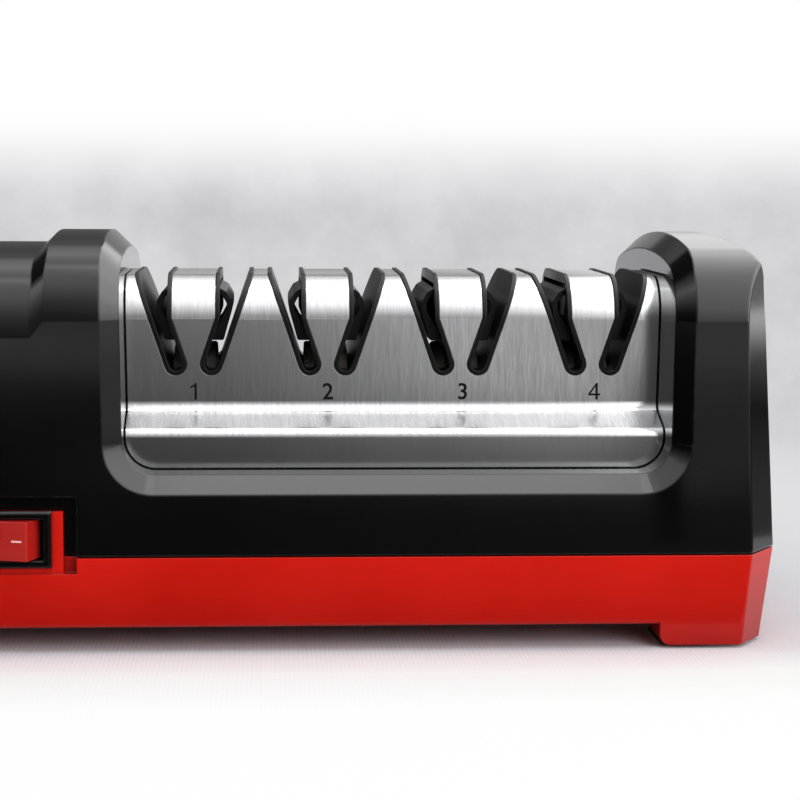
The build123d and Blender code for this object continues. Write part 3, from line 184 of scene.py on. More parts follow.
# ---- shared effects ----
def make_moulded_skin():
    """Fine skin, slow flow marks and a little dust, as on a moulding taken from its tool."""
    group, given, out = open_group(
        "Moulded skin", [("Grain", 2600.0), ("Dust amount", 0.5)],
        [("Height", "NodeSocketFloat"), ("Flow", "NodeSocketFloat"), ("Dust", "NodeSocketFloat")])
    where = place_on_piece(group)
    fine = noise(group, where, given["Grain"])
    slow = noise(group, where, scale=28.0, detail=3.0, roughness=0.55)
    specks = noise(group, where, scale=1400.0, detail=1.0)
    patches = noise(group, where, scale=60.0)
    dust = times(group, spread(group, specks, 0.68, 0.76), spread(group, patches, 0.42, 0.7))
    group.links.new(fine, out["Height"])
    group.links.new(spread(group, slow, 0.3, 0.7), out["Flow"])
    group.links.new(times(group, dust, given["Dust amount"]), out["Dust"])
    return group


def make_soft_edge():
    """Rounded normal at sharp edges, and a broken mask of the wear along them."""
    group, given, out = open_group(
        "Soft edge", [("Width", 0.4 * MM), ("Wear", 0.5)],
        [("Normal", "NodeSocketVector"), ("Wear", "NodeSocketFloat")])
    rounded = put(group, "ShaderNodeBevel", {"Radius": given["Width"]}, samples=6).outputs[0]
    flat = put(group, "ShaderNodeNewGeometry").outputs["Normal"]
    turn = put(group, "ShaderNodeVectorMath", {0: rounded, 1: flat}, operation="DOT_PRODUCT").outputs["Value"]
    edge = spread(group, turn, 0.995, 0.86)
    rubs = noise(group, place_on_piece(group), scale=420.0, detail=4.0, roughness=0.65)
    worn = times(group, edge, spread(group, rubs, 0.38, 0.62))
    group.links.new(rounded, out["Normal"])
    group.links.new(times(group, worn, given["Wear"]), out["Wear"])
    return group


def make_brushing():
    """Long fine scratches that run round the profile of the sheet, side by side along its length."""
    group, given, out = open_group(
        "Brushing", [("Lines", 2600.0), ("Length", 0.012)],
        [("Height", "NodeSocketFloat"), ("Streaks", "NodeSocketFloat"), ("Smears", "NodeSocketFloat")])
    where = place_on_piece(group)
    stretch = put(group, "ShaderNodeCombineXYZ", {"X": 1.0, "Y": given["Length"], "Z": given["Length"]})
    drawn = put(
        group, "ShaderNodeVectorMath", {0: where, 1: stretch.outputs[0]}, operation="MULTIPLY").outputs[0]
    fine = noise(group, drawn, given["Lines"], detail=3.0, roughness=0.6)
    coarse = noise(group, drawn, times(group, given["Lines"], 0.21), detail=3.0, roughness=0.6)
    both = plus(group, times(group, fine, 0.65), times(group, coarse, 0.35))
    smears = noise(group, where, scale=22.0, detail=3.0, roughness=0.6)
    group.links.new(both, out["Height"])
    group.links.new(spread(group, both, 0.36, 0.64), out["Streaks"])
    group.links.new(spread(group, smears, 0.35, 0.7), out["Smears"])
    return group


moulded_skin = make_moulded_skin()
soft_edge = make_soft_edge()
brushing = make_brushing()


# ---- finishes ----
# Painted shade in recesses: how far the walls are sought, and how dark the painted shade gets.
RECESS_REACH = 25.0 * MM
PAINTED_SHADE_LEVEL = 0.3


def open_finish(name, **sockets):
    """A material with its Principled shader, whose plain sockets are filled."""
    finish = bpy.data.materials.new(name)
    finish.use_nodes = True
    tree = finish.node_tree
    shader = tree.nodes["Principled BSDF"]
    for label, value in sockets.items():
        shader.inputs[label.replace("_", " ")].default_value = value
    return finish, tree, shader.inputs


def add_relief(tree, sockets, height, depth, normal=None, strength=1.0):
    """Lets a height pattern of a given depth catch the light."""
    inputs = {"Height": height, "Distance": depth, "Strength": strength}
    if normal is not None:
        inputs["Normal"] = normal
    bump = put(tree, "ShaderNodeBump", inputs)
    tree.links.new(bump.outputs[0], sockets["Normal"])


def shade_recesses(tree, colour, tint, amount):
    """Painted shade: darkens a colour where the walls around stand close."""
    open_sky = put(tree, "ShaderNodeAmbientOcclusion", {"Distance": RECESS_REACH}, samples=4).outputs["AO"]
    painted_shade = spread(tree, open_sky, 0.95, 0.45, out_high=amount)
    return blend_colour(tree, painted_shade, colour, tuple(PAINTED_SHADE_LEVEL * channel for channel in tint))


def moulding(name, tint, worn, rough, rough_more, grain, depth, dust=0.4, wear=0.5, edge=0.4, level=0.5,
             painted_recess_shade=0.0):
    """Moulded plastic or rubber: skin, flow marks, dust, paler worn edges and painted shade in recesses.

    The depth of the skin and the width of the worn edge are in millimetres.
    """
    finish, tree, sockets = open_finish(name, Specular_IOR_Level=level)
    skin = place_group(tree, moulded_skin, grain=grain, dust_amount=dust)
    edges = place_group(tree, soft_edge, width=edge * MM, wear=wear)
    deep = tuple(0.82 * channel for channel in tint)
    dusty = tuple(0.35 + 0.5 * channel for channel in tint)
    colour = blend_colour(tree, skin["Flow"], deep, tint)
    colour = blend_colour(tree, edges["Wear"], colour, worn)
    colour = blend_colour(tree, skin["Dust"], colour, dusty)
    if painted_recess_shade:
        colour = shade_recesses(tree, colour, tint, painted_recess_shade)
    tree.links.new(colour, sockets["Base Color"])
    roughness = spread(tree, skin["Flow"], 0.0, 1.0, rough, rough + rough_more)
    roughness = plus(tree, roughness, times(tree, skin["Dust"], 0.4))
    roughness = plus(tree, roughness, times(tree, edges["Wear"], 0.12))
    tree.links.new(roughness, sockets["Roughness"])
    add_relief(tree, sockets, skin["Height"], depth * MM, edges["Normal"])
    return finish


def metal(name, tint, dark, rough, rough_more, lines, depth, stretch=0.012, edge=0.15, wear=0.6, turned=0.0):
    """Bare metal with a drawn, turned or rolled grain, smears and brighter edges.

    The depth of the grain and the width of the bright edge are in millimetres.
    """
    finish, tree, sockets = open_finish(name, Metallic=1.0, Anisotropic=turned)
    grain = place_group(tree, brushing, lines=lines, length=stretch)
    edges = place_group(tree, soft_edge, width=edge * MM, wear=wear)
    bright = tuple(min(1.0, 1.25 * channel) for channel in tint)
    colour = blend_colour(tree, grain["Streaks"], dark, tint)
    colour = blend_colour(tree, edges["Wear"], colour, bright)
    tree.links.new(colour, sockets["Base Color"])
    roughness = spread(tree, grain["Streaks"], 0.0, 1.0, rough + rough_more, rough)
    roughness = plus(tree, roughness, times(tree, grain["Smears"], 0.05))
    tree.links.new(roughness, sockets["Roughness"])
    add_relief(tree, sockets, grain["Height"], depth * MM, edges["Normal"])
    return finish


def cover_steel():
    """Brushed stainless sheet: fine scratches round the profile, duller where the sheet lies level."""
    finish, tree, sockets = open_finish("Brushed steel sheet", Metallic=1.0, Anisotropic=0.2)
    grain = place_group(tree, brushing, lines=2900.0, length=0.05)
    edges = place_group(tree, soft_edge, width=0.3 * MM, wear=0.9)
    colour = blend_colour(tree, grain["Streaks"], (0.53, 0.53, 0.54), (0.69, 0.69, 0.70))
    colour = blend_colour(tree, times(tree, grain["Smears"], 0.2), colour, (0.57, 0.565, 0.56))
    # Paler edge colour: partly worn edges, partly a painted highlight along the cut edge of the sheet.
    colour = blend_colour(tree, edges["Wear"], colour, (0.90, 0.90, 0.91))
    tree.links.new(colour, sockets["Base Color"])
    roughness = spread(tree, grain["Streaks"], 0.0, 1.0, 0.16, 0.11)
    roughness = plus(tree, roughness, times(tree, grain["Smears"], 0.03))
    upward = split(tree, put(tree, "ShaderNodeNewGeometry").outputs["Normal"])["Z"]
    rubbed = spread(tree, upward, 0.75, 0.98, out_high=0.16)
    tree.links.new(plus(tree, roughness, rubbed), sockets["Roughness"])
    tangent = put(tree, "ShaderNodeTangent", direction_type="RADIAL", axis="Z")
    tree.links.new(tangent.outputs[0], sockets["Tangent"])
    add_relief(tree, sockets, grain["Height"], 0.0018 * MM, edges["Normal"])
    return finish


def wheel_grit():
    """Grinding wheel: coarse dark grit on the disc, a paler rim, plain grey moulding on the hub."""
    finish, tree, sockets = open_finish("Wheel grit")
    where = place_on_piece(tree)
    parts = split(tree, where)
    radius = distance(tree, parts["Y"], reckon(tree, "SUBTRACT", parts["Z"], SHAFT_HEIGHT))
    on_disc = spread(tree, radius, HUB_RADIUS, GRIT_RADIUS)
    on_rim = spread(tree, radius, RIM_START, RIM_FULL)
    cells = put(tree, "ShaderNodeTexVoronoi", {"Vector": where, "Scale": 2600.0}).outputs["Distance"]
    # Pale specks: partly pale grit, partly painted glints on the wheel.
    pale_specks_and_glints = spread(tree, noise(tree, where, scale=5200.0, detail=1.0), 0.62, 0.7)
    grit = blend_colour(tree, cells, (0.10, 0.10, 0.11), (0.30, 0.29, 0.27))
    grit = blend_colour(tree, pale_specks_and_glints, grit, (0.62, 0.62, 0.60))
    grit = blend_colour(tree, times(tree, on_rim, 0.55), grit, (0.36, 0.34, 0.31))
    colour = blend_colour(tree, on_disc, (0.09, 0.09, 0.10), grit)
    tree.links.new(colour, sockets["Base Color"])
    tree.links.new(spread(tree, on_disc, 0.0, 1.0, 0.42, 0.85), sockets["Roughness"])
    edges = place_group(tree, soft_edge, width=0.2 * MM, wear=0.3)
    add_relief(tree, sockets, times(tree, cells, on_disc), 0.08 * MM, edges["Normal"])
    return finish


def wound_copper():
    """Lacquered winding: round wires, one above the other."""
    tint = (0.62, 0.24, 0.09)
    dark = (0.22, 0.07, 0.03)
    finish, tree, sockets = open_finish("Wound copper", Metallic=0.85, Coat_Weight=0.6, Coat_Roughness=0.15)
    where = place_on_piece(tree)
    wires = bands(tree, where, WIRE_PITCH, "Z", distortion=0.6, detail=1.0, detail_scale=40.0)
    stain = spread(tree, noise(tree, where, scale=90.0, detail=3.0), 0.4, 0.7)
    colour = blend_colour(tree, wires, dark, tint)
    colour = blend_colour(tree, times(tree, stain, 0.4), colour, dark)
    tree.links.new(colour, sockets["Base Color"])
    tree.links.new(spread(tree, wires, 0.0, 1.0, 0.45, 0.28), sockets["Roughness"])
    edges = place_group(tree, soft_edge, width=0.5 * MM, wear=0.2)
    add_relief(tree, sockets, wires, 0.12 * MM, edges["Normal"])
    return finish


def stacked_sheet():
    """Laminations: thin varnished sheets on edge, with a little rust in the seams."""
    finish, tree, sockets = open_finish("Stacked sheet", Metallic=0.7)
    where = place_on_piece(tree)
    seams = bands(tree, where, LAMINATION_PITCH, "X")
    rust = spread(tree, noise(tree, where, scale=160.0, detail=4.0, roughness=0.6), 0.58, 0.72)
    colour = blend_colour(tree, seams, (0.09, 0.08, 0.08), (0.24, 0.24, 0.25))
    colour = blend_colour(tree, times(tree, rust, 0.5), colour, (0.20, 0.09, 0.04))
    tree.links.new(colour, sockets["Base Color"])
    tree.links.new(spread(tree, seams, 0.0, 1.0, 0.62, 0.4), sockets["Roughness"])
    edges = place_group(tree, soft_edge, width=0.3 * MM, wear=0.4)
    add_relief(tree, sockets, seams, 0.05 * MM, edges["Normal"])
    return finish


def ink(name, tint, rough, level):
    """Printed ink: slightly uneven cover and a faint edge of its own."""
    finish, tree, sockets = open_finish(name, Specular_IOR_Level=level)
    film = noise(tree, place_on_piece(tree), scale=2200.0, detail=3.0, roughness=0.6)
    thin = spread(tree, film, 0.35, 0.65)
    paler = tuple(min(1.0, channel * 1.3 + 0.01) for channel in tint)
    tree.links.new(blend_colour(tree, thin, tint, paler), sockets["Base Color"])
    tree.links.new(spread(tree, thin, 0.0, 1.0, rough, rough + 0.12), sockets["Roughness"])
    add_relief(tree, sockets, thin, 0.01 * MM)
    return finish


finishes = {
    "housing_black": moulding(
        "Black gloss moulding", tint=(0.0016, 0.0016, 0.0017), worn=(0.05, 0.05, 0.05), rough=0.06,
        rough_more=0.04, grain=2600.0, depth=0.001, dust=0.015, wear=0.35, edge=0.8, level=0.42),
    # The red base gets painted shade in its recesses.
    "base_red": moulding(
        "Red gloss moulding", tint=(0.60, 0.0060, 0.0008), worn=(0.74, 0.03, 0.02), rough=0.16,
        rough_more=0.07, grain=2400.0, depth=0.002, dust=0.01, wear=0.3, edge=0.5, level=0.25, painted_recess_shade=0.65),
    "rocker_red": moulding(
        "Rocker red", tint=(0.46, 0.013, 0.009), worn=(0.75, 0.09, 0.08), rough=0.24, rough_more=0.08,
        grain=2400.0, depth=0.004, dust=0.02, wear=0.6, edge=0.4),
    "guide_black": moulding(
        "Guide black", tint=(0.003, 0.003, 0.0032), worn=(0.06, 0.06, 0.06), rough=0.30, rough_more=0.1,
        grain=1800.0, depth=0.006, dust=0.04, wear=0.4, edge=0.35, level=0.22),
    "spring_black": moulding(
        "Spring black", tint=(0.004, 0.004, 0.0042), worn=(0.06, 0.06, 0.06), rough=0.30, rough_more=0.1,
        grain=1500.0, depth=0.008, dust=0.04, wear=0.5, edge=0.3, level=0.25),
    "pad_rubber": moulding(
        "Pad rubber", tint=(0.022, 0.022, 0.022), worn=(0.06, 0.06, 0.06), rough=0.75, rough_more=0.1,
        grain=900.0, depth=0.03, dust=0.8, wear=0.3, edge=0.4, level=0.3),
    "fan_plastic": moulding(
        "Fan plastic", tint=(0.10, 0.10, 0.11), worn=(0.2, 0.2, 0.2), rough=0.4, rough_more=0.1,
        grain=1500.0, depth=0.01, dust=0.6, wear=0.3),
    "carbon": moulding(
        "Brush carbon", tint=(0.04, 0.04, 0.042), worn=(0.12, 0.12, 0.12), rough=0.55, rough_more=0.15,
        grain=1100.0, depth=0.03, dust=0.3, wear=0.6, edge=0.3),
    "inlet_black": moulding(
        "Inlet black", tint=(0.02, 0.02, 0.021), worn=(0.07, 0.07, 0.07), rough=0.38, rough_more=0.1,
        grain=1600.0, depth=0.01, dust=0.3, wear=0.4, edge=0.35),
    "wire_sheath": moulding(
        "Wire sheath", tint=(0.06, 0.07, 0.30), worn=(0.2, 0.2, 0.4), rough=0.35, rough_more=0.1,
        grain=1200.0, depth=0.01, dust=0.4, wear=0.1),
    "cover_steel": cover_steel(),
    "bright_steel": metal(
        "Bright steel", tint=(0.62, 0.62, 0.63), dark=(0.48, 0.48, 0.49), rough=0.22, rough_more=0.1,
        lines=1800.0, depth=0.004, turned=0.3),
    "brass": metal(
        "Contact brass", tint=(0.74, 0.55, 0.24), dark=(0.55, 0.38, 0.14), rough=0.25, rough_more=0.1,
        lines=1500.0, depth=0.004),
    "bearing_bronze": metal(
        "Bearing bronze", tint=(0.50, 0.33, 0.16), dark=(0.34, 0.2, 0.09), rough=0.38, rough_more=0.12,
        lines=700.0, depth=0.01, stretch=1.0),
    "bracket_alloy": metal(
        "Bracket alloy", tint=(0.62, 0.63, 0.64), dark=(0.5, 0.5, 0.52), rough=0.42, rough_more=0.12,
        lines=420.0, depth=0.04, stretch=1.0, edge=0.5),
    "copper_bars": metal(
        "Copper bars", tint=(0.72, 0.38, 0.20), dark=(0.52, 0.24, 0.11), rough=0.25, rough_more=0.12,
        lines=1400.0, depth=0.005),
    "abrasive": wheel_grit(),
    "lamination": stacked_sheet(),
    "enamel_wire": wound_copper(),
}

# Each piece gets the finish that its row in the record names.
for row in frame["record"]["subparts"]:
    solid = frame["nodes"][row["node"]]
    for place in range(len(solid.data.materials)):
        solid.data.materials[place] = finishes[row["material_slot"]]


# ---- printed marks ----
# Stands flat artwork up to face the user.
upright = Matrix.Rotation(pi / 2, 4, "X")


def clear_selection():
    if bpy.context.object and bpy.context.object.mode != "OBJECT":
        bpy.ops.object.mode_set(mode="OBJECT")
    bpy.ops.object.select_all(action="DESELECT")


def settle(piece, place):
    """Writes a piece's place into its mesh and leaves its object at the origin."""
    piece.data.transform(place)
    piece.matrix_world = Matrix.Identity(4)
    piece.data.update()
    return piece


def cut_sheet(name, height, place):
    """Turns the chosen flat artwork into a thin sheet of ink of a given height and lays it in place."""
    bpy.ops.object.convert(target="MESH")
    piece = bpy.context.object
    piece.name = name
    low = min(v.co.y for v in piece.data.vertices)
    high = max(v.co.y for v in piece.data.vertices)
    left = min(v.co.x for v in piece.data.vertices)
    right = max(v.co.x for v in piece.data.vertices)
    size = height / (high - low)
    level = Matrix.Translation((-(left + right) / 2, -low, 0.5))
    return settle(piece, place @ Matrix.Diagonal((size, size, INK_THICKNESS, 1.0)) @ level)


def printed_digit(name, digit, height, place):
    """Sheet of ink cut from plain type, whose outline is moved outwards a little."""
    clear_selection()
    bpy.ops.object.text_add(location=(0, 0, 0))
    piece = bpy.context.object
    piece.data.body = digit
    piece.data.extrude = 0.5
    piece.data.offset = TYPE_BOLDNESS
    piece.data.resolution_u = 10
    return cut_sheet(name, height, place)


def printed_outline(name, loops, height, place):
    """Sheet of ink cut along straight lines; loops inside the first one are holes."""
    clear_selection()
    sheet = bpy.data.curves.new(name, "CURVE")
    sheet.dimensions = "2D"
    sheet.fill_mode = "BOTH"
    sheet.extrude = 0.5
    for points in loops:
        line = sheet.splines.new("POLY")
        line.points.add(len(points) - 1)
        for corner, (x, y) in zip(line.points, points):
            corner.co = (x, y, 0.0, 1.0)
        line.use_cyclic_u = True
    piece = bpy.data.objects.new(name, sheet)
    bpy.context.scene.collection.objects.link(piece)
    bpy.context.view_layer.objects.active = piece
    piece.select_set(True)
    return cut_sheet(name, height, place)


def printed_ring(name, radius, line, place):
    """Sheet of ink between two circles."""
    clear_selection()
    bpy.ops.mesh.primitive_circle_add(vertices=48, radius=radius, location=(0, 0, 0))
    piece = bpy.context.object
    piece.name = name
    bpy.ops.object.mode_set(mode="EDIT")
    bpy.ops.mesh.select_all(action="SELECT")
    bpy.ops.mesh.extrude_edges_move()
    bpy.ops.transform.resize(value=((radius - line) / radius,) * 3, center_override=(0, 0, 0))
    bpy.ops.mesh.select_all(action="SELECT")
    bpy.ops.mesh.extrude_region_move(TRANSFORM_OT_translate={"value": (0, 0, INK_THICKNESS)})
    bpy.ops.mesh.select_all(action="SELECT")
    bpy.ops.mesh.normals_make_consistent(inside=False)
    bpy.ops.object.mode_set(mode="OBJECT")
    return settle(piece, place)


def draw_one():
    """Outline of the 1: a stem with a flag."""
    return [
        (0.0, 0.0), (0.0, 1.0), (-ONE_TOP_WIDTH, 1.0), FLAG_ELBOW, (-FLAG_WIDTH, FLAG_TIP),
        (-FLAG_WIDTH, FLAG_FOOT), (-STEM_WIDTH, FLAG_ROOT), (-STEM_WIDTH, 0.0)]


def draw_four():
    """Outline of the 4: a stem, a level arm and a slope between them."""
    return [
        (0.0, 0.0), (0.0, ARM_FOOT), (ARM_RIGHT, ARM_FOOT), (ARM_RIGHT, ARM_TOP), (0.0, ARM_TOP), (0.0, 1.0),
        (-FOUR_TOP_WIDTH, 1.0), (-ARM_LEFT, ARM_TOP), (-ARM_LEFT, ARM_FOOT), (-STEM_WIDTH, ARM_FOOT),
        (-STEM_WIDTH, 0.0)]


def draw_four_hole():
    """Outline of the hole in the 4, between the stem, the arm and the slope."""
    return [(-STEM_WIDTH, ARM_TOP), (-STEM_WIDTH, HOLE_TOP), (-HOLE_LEFT, ARM_TOP)]


def print_numerals():
    """Stage numbers 1 to 4 on the upright face of the steel cover."""
    numeral_ink = ink("Numeral ink", tint=(0.004, 0.004, 0.004), rough=0.6, level=0.0)
    drawn_digits = {1: [draw_one()], 4: [draw_four(), draw_four_hole()]}
    for number, x in enumerate(NUMERAL_CENTRES, 1):
        place = Matrix.Translation((x, COVER_FACE_Y, NUMERAL_FOOT)) @ upright
        name = f"stage_numeral_{number}"
        if number in drawn_digits:
            numeral = printed_outline(name, drawn_digits[number], NUMERAL_HEIGHT, place)
        else:
            numeral = printed_digit(name, str(number), NUMERAL_HEIGHT, place)
        numeral.data.materials.append(numeral_ink)
        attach(numeral, "root")


def print_rocker_marks():
    """Dash for on and ring for off, each flat on its half of the rocker key."""
    mark_ink = ink("Rocker mark", tint=(0.80, 0.42, 0.44), rough=0.4, level=0.5)
    width, height = DASH_SIZE
    half = width / height / 2
    bar = [(-half, -0.5), (half, -0.5), (half, 0.5), (-half, 0.5)]
    turned = Matrix.Translation(DASH_CENTRE) @ Matrix.Rotation(DASH_TURN, 4, "Z") @ upright
    centred = turned @ Matrix.Translation((0, -height / 2, 0))
    dash = printed_outline("rocker_dash", [bar], height, centred)
    ring = printed_ring("rocker_ring", RING_RADIUS, RING_LINE, Matrix.Translation(RING_CENTRE) @ upright)
    for mark in (dash, ring):
        mark.data.materials.append(mark_ink)
        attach(mark, "rocker")


print_numerals()
print_rocker_marks()

# ---- studio: floor and backdrop ----
FLOOR_WIDTH = 80.0
CLOTH_SHADE = (0.79, 0.81, 0.85)
CLOTH_PAINTED_LIGHT = (0.95, 0.97, 0.97)
CLOTH_THREAD = (0.40, 0.38, 0.39)
CLOTH_THREAD_PITCH = 1.208 * MM
GLOW_SHADE = (0.72, 0.71, 0.73)
GLOW_PALE = (0.80, 0.79, 0.81)
BACKDROP_SHADE = (0.560, 0.554, 0.575)
BACKDROP_PALE = (0.715, 0.705, 0.725)
WHITE = (1.0, 1.0, 1.0)
FILL_LIGHT = 0.30

# Each pair is where a change starts and where it is complete. The painted front light and glow on the cloth
# are places along Y, the floor's are distances from the origin, and the backdrop's are heights on a sphere of
# radius 1.
FRONT_LIGHT_PAINTED = (-0.055, -0.080)
FRONT_GLOW_PAINTED = (-0.075, -0.12)
FLOOR_GLOWS = (0.13, 0.28)
FLOOR_ENDS = (0.30, 0.48)
BACKDROP_WHITENS = (-0.023, 0.028)

# ---- studio: what gloss alone sees ----
CARD_HEIGHT = 3.0 * MM
TABLE_REACH = 2.6
TABLE_FAR_LEFT = -15.0
TABLE_EDGE_X = 0.30
TABLE_EDGE_Y = -0.064
LEFT_TABLE_BACK = 0.8
BLACK_CARD_LEFT = 0.1490
BLACK_CARD_RIGHT = 0.1600
BLACK_CARD_Y = -0.30
BLACK_CARD_TOP = 0.050

# Brightness of the studio along four arcs, as (place, brightness) stops from the horizon behind (0)
# over the top (0.5) to the horizon in front (1).
BRIGHTEST = 6.0
SIDE_ARC = [(0.0, 0.10), (0.07, 0.12), (0.12, 0.04), (0.34, 0.06), (0.42, 0.9), (0.48, 2.2), (0.60, 1.9),
            (0.72, 1.2), (0.88, 0.4), (1.0, 0.15)]
LEFT_ARC = [(0.0, 0.12), (0.09, 0.12), (0.17, 0.45), (0.25, 1.1), (0.34, 2.1), (0.45, 2.0), (0.50, 3.3),
            (0.55, 2.4), (0.68, 2.0), (0.76, 1.3), (0.84, 0.7), (1.0, 0.12)]
CENTRE_ARC = [(0.0, 0.42), (0.08, 0.36), (0.11, 0.06), (0.15, 0.06), (0.19, 0.72), (0.26, 0.85), (0.31, 1.3),
              (0.38, 1.9), (0.47, 2.6), (0.51, 6.0), (0.56, 4.6), (0.61, 2.0), (0.70, 1.9), (0.80, 1.6),
              (0.90, 0.9), (1.0, 0.30)]
RIGHT_ARC = [(0.0, 0.4), (0.06, 1.3), (0.14, 2.1), (0.22, 3.0), (0.31, 4.6), (0.45, 5.0), (0.55, 4.0),
             (0.67, 3.4), (0.80, 2.9), (0.90, 2.5), (0.96, 1.6), (1.0, 0.6)]

# An arc takes over from the one to its left between two places, from full left (-1) to full right (1).
TAKE_OVERS = [(LEFT_ARC, -0.32, -0.20), (CENTRE_ARC, -0.075, -0.05), (RIGHT_ARC, 0.15, 0.19)]
FAR_LEFT_DIMS = (-0.98, -0.85)
FAR_LEFT_SHARE = 0.1


def weave_cloth(tree, sockets, where, front):
    """Pale woven cloth, painted lighter in front as a pool of light, whose threads show less where the light
    in front washes them out.
    """
    warp = bands(tree, where, CLOTH_THREAD_PITCH, "X", distortion=1.2)
    weft = bands(tree, where, CLOTH_THREAD_PITCH, "Y", distortion=1.2)
    weave = plus(tree, warp, weft)
    thread = times(tree, weave, spread(tree, front, 0.0, 1.0, 0.10, 0.02))
    # Painted light: the cloth's colour is lighter in front, where a pool of light falls.
    colour = blend_colour(tree, front, CLOTH_SHADE, CLOTH_PAINTED_LIGHT)
    tree.links.new(blend_colour(tree, thread, colour, CLOTH_THREAD), sockets["Base Color"])
    add_relief(tree, sockets, weave, 0.05 * MM, strength=0.5)


def even_glow(tree, where, front):
    """Cloudy even light that hides the cloth's shading far from the object, and white painted light in front.
    """
    cloud = spread(tree, noise(tree, where, scale=3.0, detail=3.0), 0.3, 0.7)
    glow = blend_colour(tree, cloud, GLOW_SHADE, GLOW_PALE)
    # Painted light: the glow turns white in front of the object.
    glow = blend_colour(tree, front, glow, WHITE)
    return put(tree, "ShaderNodeEmission", {"Color": glow, "Strength": 1.0}).outputs[0]


def make_floor():
    """Cloth floor: it takes light and shadow near the object, has light painted on it in front, glows evenly
    further off, then ends.
    """
    clear_selection()
    bpy.ops.mesh.primitive_plane_add(size=FLOOR_WIDTH, location=(0, 0, 0))
    floor = bpy.context.object
    floor.name = "studio_floor"
    finish, tree, sockets = open_finish("Floor cloth", Roughness=0.9, Specular_IOR_Level=0.1)
    where = place_on_piece(tree)
    along = split(tree, where)["Y"]
    reach = put(tree, "ShaderNodeVectorMath", {0: where}, operation="LENGTH").outputs["Value"]
    front = spread(tree, along, *FRONT_LIGHT_PAINTED)
    weave_cloth(tree, sockets, where, front)
    rays = put(tree, "ShaderNodeLightPath").outputs
    mirrored = reckon(tree, "MAXIMUM", rays["Is Glossy Ray"], rays["Is Transmission Ray"])
    looked_at = reckon(tree, "MAXIMUM", rays["Is Camera Ray"], mirrored)
    # Painted light: in front, the floor glows white for the rays that look at it.
    painted_front_glow = spread(tree, along, *FRONT_GLOW_PAINTED, out_high=0.9)
    glowing = reckon(tree, "MAXIMUM", spread(tree, reach, *FLOOR_GLOWS), painted_front_glow)
    lit = tree.nodes["Principled BSDF"].outputs[0]
    cloth = blend_shader(tree, times(tree, glowing, looked_at), lit, even_glow(tree, where, front))
    gone = times(tree, spread(tree, reach, *FLOOR_ENDS), rays["Is Camera Ray"])
    clear = put(tree, "ShaderNodeBsdfTransparent").outputs[0]
    ending = blend_shader(tree, gone, cloth, clear)
    tree.links.new(ending, tree.nodes["Material Output"].inputs["Surface"])
    floor.data.materials.append(finish)


def make_card(name, corners):
    """Flat card between four corners that gloss alone sees; returns its material's tree and glow."""
    clear_selection()
    bpy.ops.mesh.primitive_plane_add(size=1.0, location=(0, 0, 0))
    card = bpy.context.object
    card.name = name
    for vertex, corner in zip(card.data.vertices, corners):
        vertex.co = corner
    finish = bpy.data.materials.new(name)
    finish.use_nodes = True
    tree = finish.node_tree
    tree.nodes.clear()
    glow = put(tree, "ShaderNodeEmission", {"Strength": 0.0})
    put(tree, "ShaderNodeOutputMaterial", {"Surface": glow.outputs[0]})
    card.data.materials.append(finish)
    card.visible_camera = False
    card.visible_diffuse = False
    card.visible_shadow = False
    card.visible_transmission = False
    return tree, glow.inputs["Strength"]


def make_table(name, low, high, brightness):
    """Card laid over part of the floor; brightness(tree, x, y) says how it glows."""
    corners = [(low[0], low[1]), (high[0], low[1]), (low[0], high[1]), (high[0], high[1])]
    tree, glow = make_card(name, [(*corner, CARD_HEIGHT) for corner in corners])
    parts = split(tree, place_on_piece(tree))
    tree.links.new(brightness(tree, parts["X"], parts["Y"]), glow)


def make_black_card(name, left, right, y, top):
    """Black card that stands upright in front."""
    make_card(name, [(left, y, 0.0), (right, y, 0.0), (left, y, top), (right, y, top)])


def front_table(tree, x, y):
    """Dark table top in front, lighter to the right and further off."""
    near = plus(tree, spread(tree, x, -0.15, 0.25, 0.02, 0.14), spread(tree, x, 0.45, 0.75, 0.0, 0.5))
    rise = reckon(tree, "POWER", spread(tree, x, -0.04, 0.17), 1.5)
    far = plus(tree, spread(tree, rise, 0.0, 1.0, 0.14, 0.66), spread(tree, x, 0.20, 0.24, 0.0, -0.24))
    far = plus(tree, far, spread(tree, x, -0.08, -0.15, 0.0, -0.10))
    return blend(tree, spread(tree, y, -0.45, -0.64), near, far)


def right_table(tree, x, y):
    """Dark table top to the right that brightens far off."""
    reach = distance(tree, x, y)
    near = spread(tree, reach, 0.45, 0.9, 0.15, 0.04)
    far = plus(tree, spread(tree, reach, 0.9, 1.6, 0.0, 0.26), spread(tree, reach, 1.6, 2.6, 0.0, 2.5))
    return plus(tree, near, far)


def left_table(tree, x, y):
    """Dark table top to the left."""
    return spread(tree, x, -0.8, -0.3, 0.02, 0.04)


def add_softbox(name, place, aim, width, height, brightness):
    """Rectangular lamp of a given brightness, aimed at a point and kept out of the gloss."""
    light = bpy.data.lights.new(name, "AREA")
    light.shape = "RECTANGLE"
    light.size = width
    light.size_y = height
    light.energy = brightness * pi * width * height
    lamp = bpy.data.objects.new(name, light)
    bpy.context.scene.collection.objects.link(lamp)
    lamp.location = place
    lamp.rotation_euler = (Vector(aim) - Vector(place)).to_track_quat("-Z", "Y").to_euler()
    lamp.visible_glossy = False


def arc_brightness(tree, place, stops):
    """Brightness along an arc, from (place, brightness) stops."""
    made = put(tree, "ShaderNodeValToRGB", {"Fac": place})
    elements = made.color_ramp.elements
    while len(elements) < len(stops):
        elements.new(0.5)
    for element, (at, level) in zip(elements, stops):
        share = level / BRIGHTEST
        element.position = at
        element.color = (share, share, share, 1.0)
    return times(tree, made.outputs["Color"], BRIGHTEST)


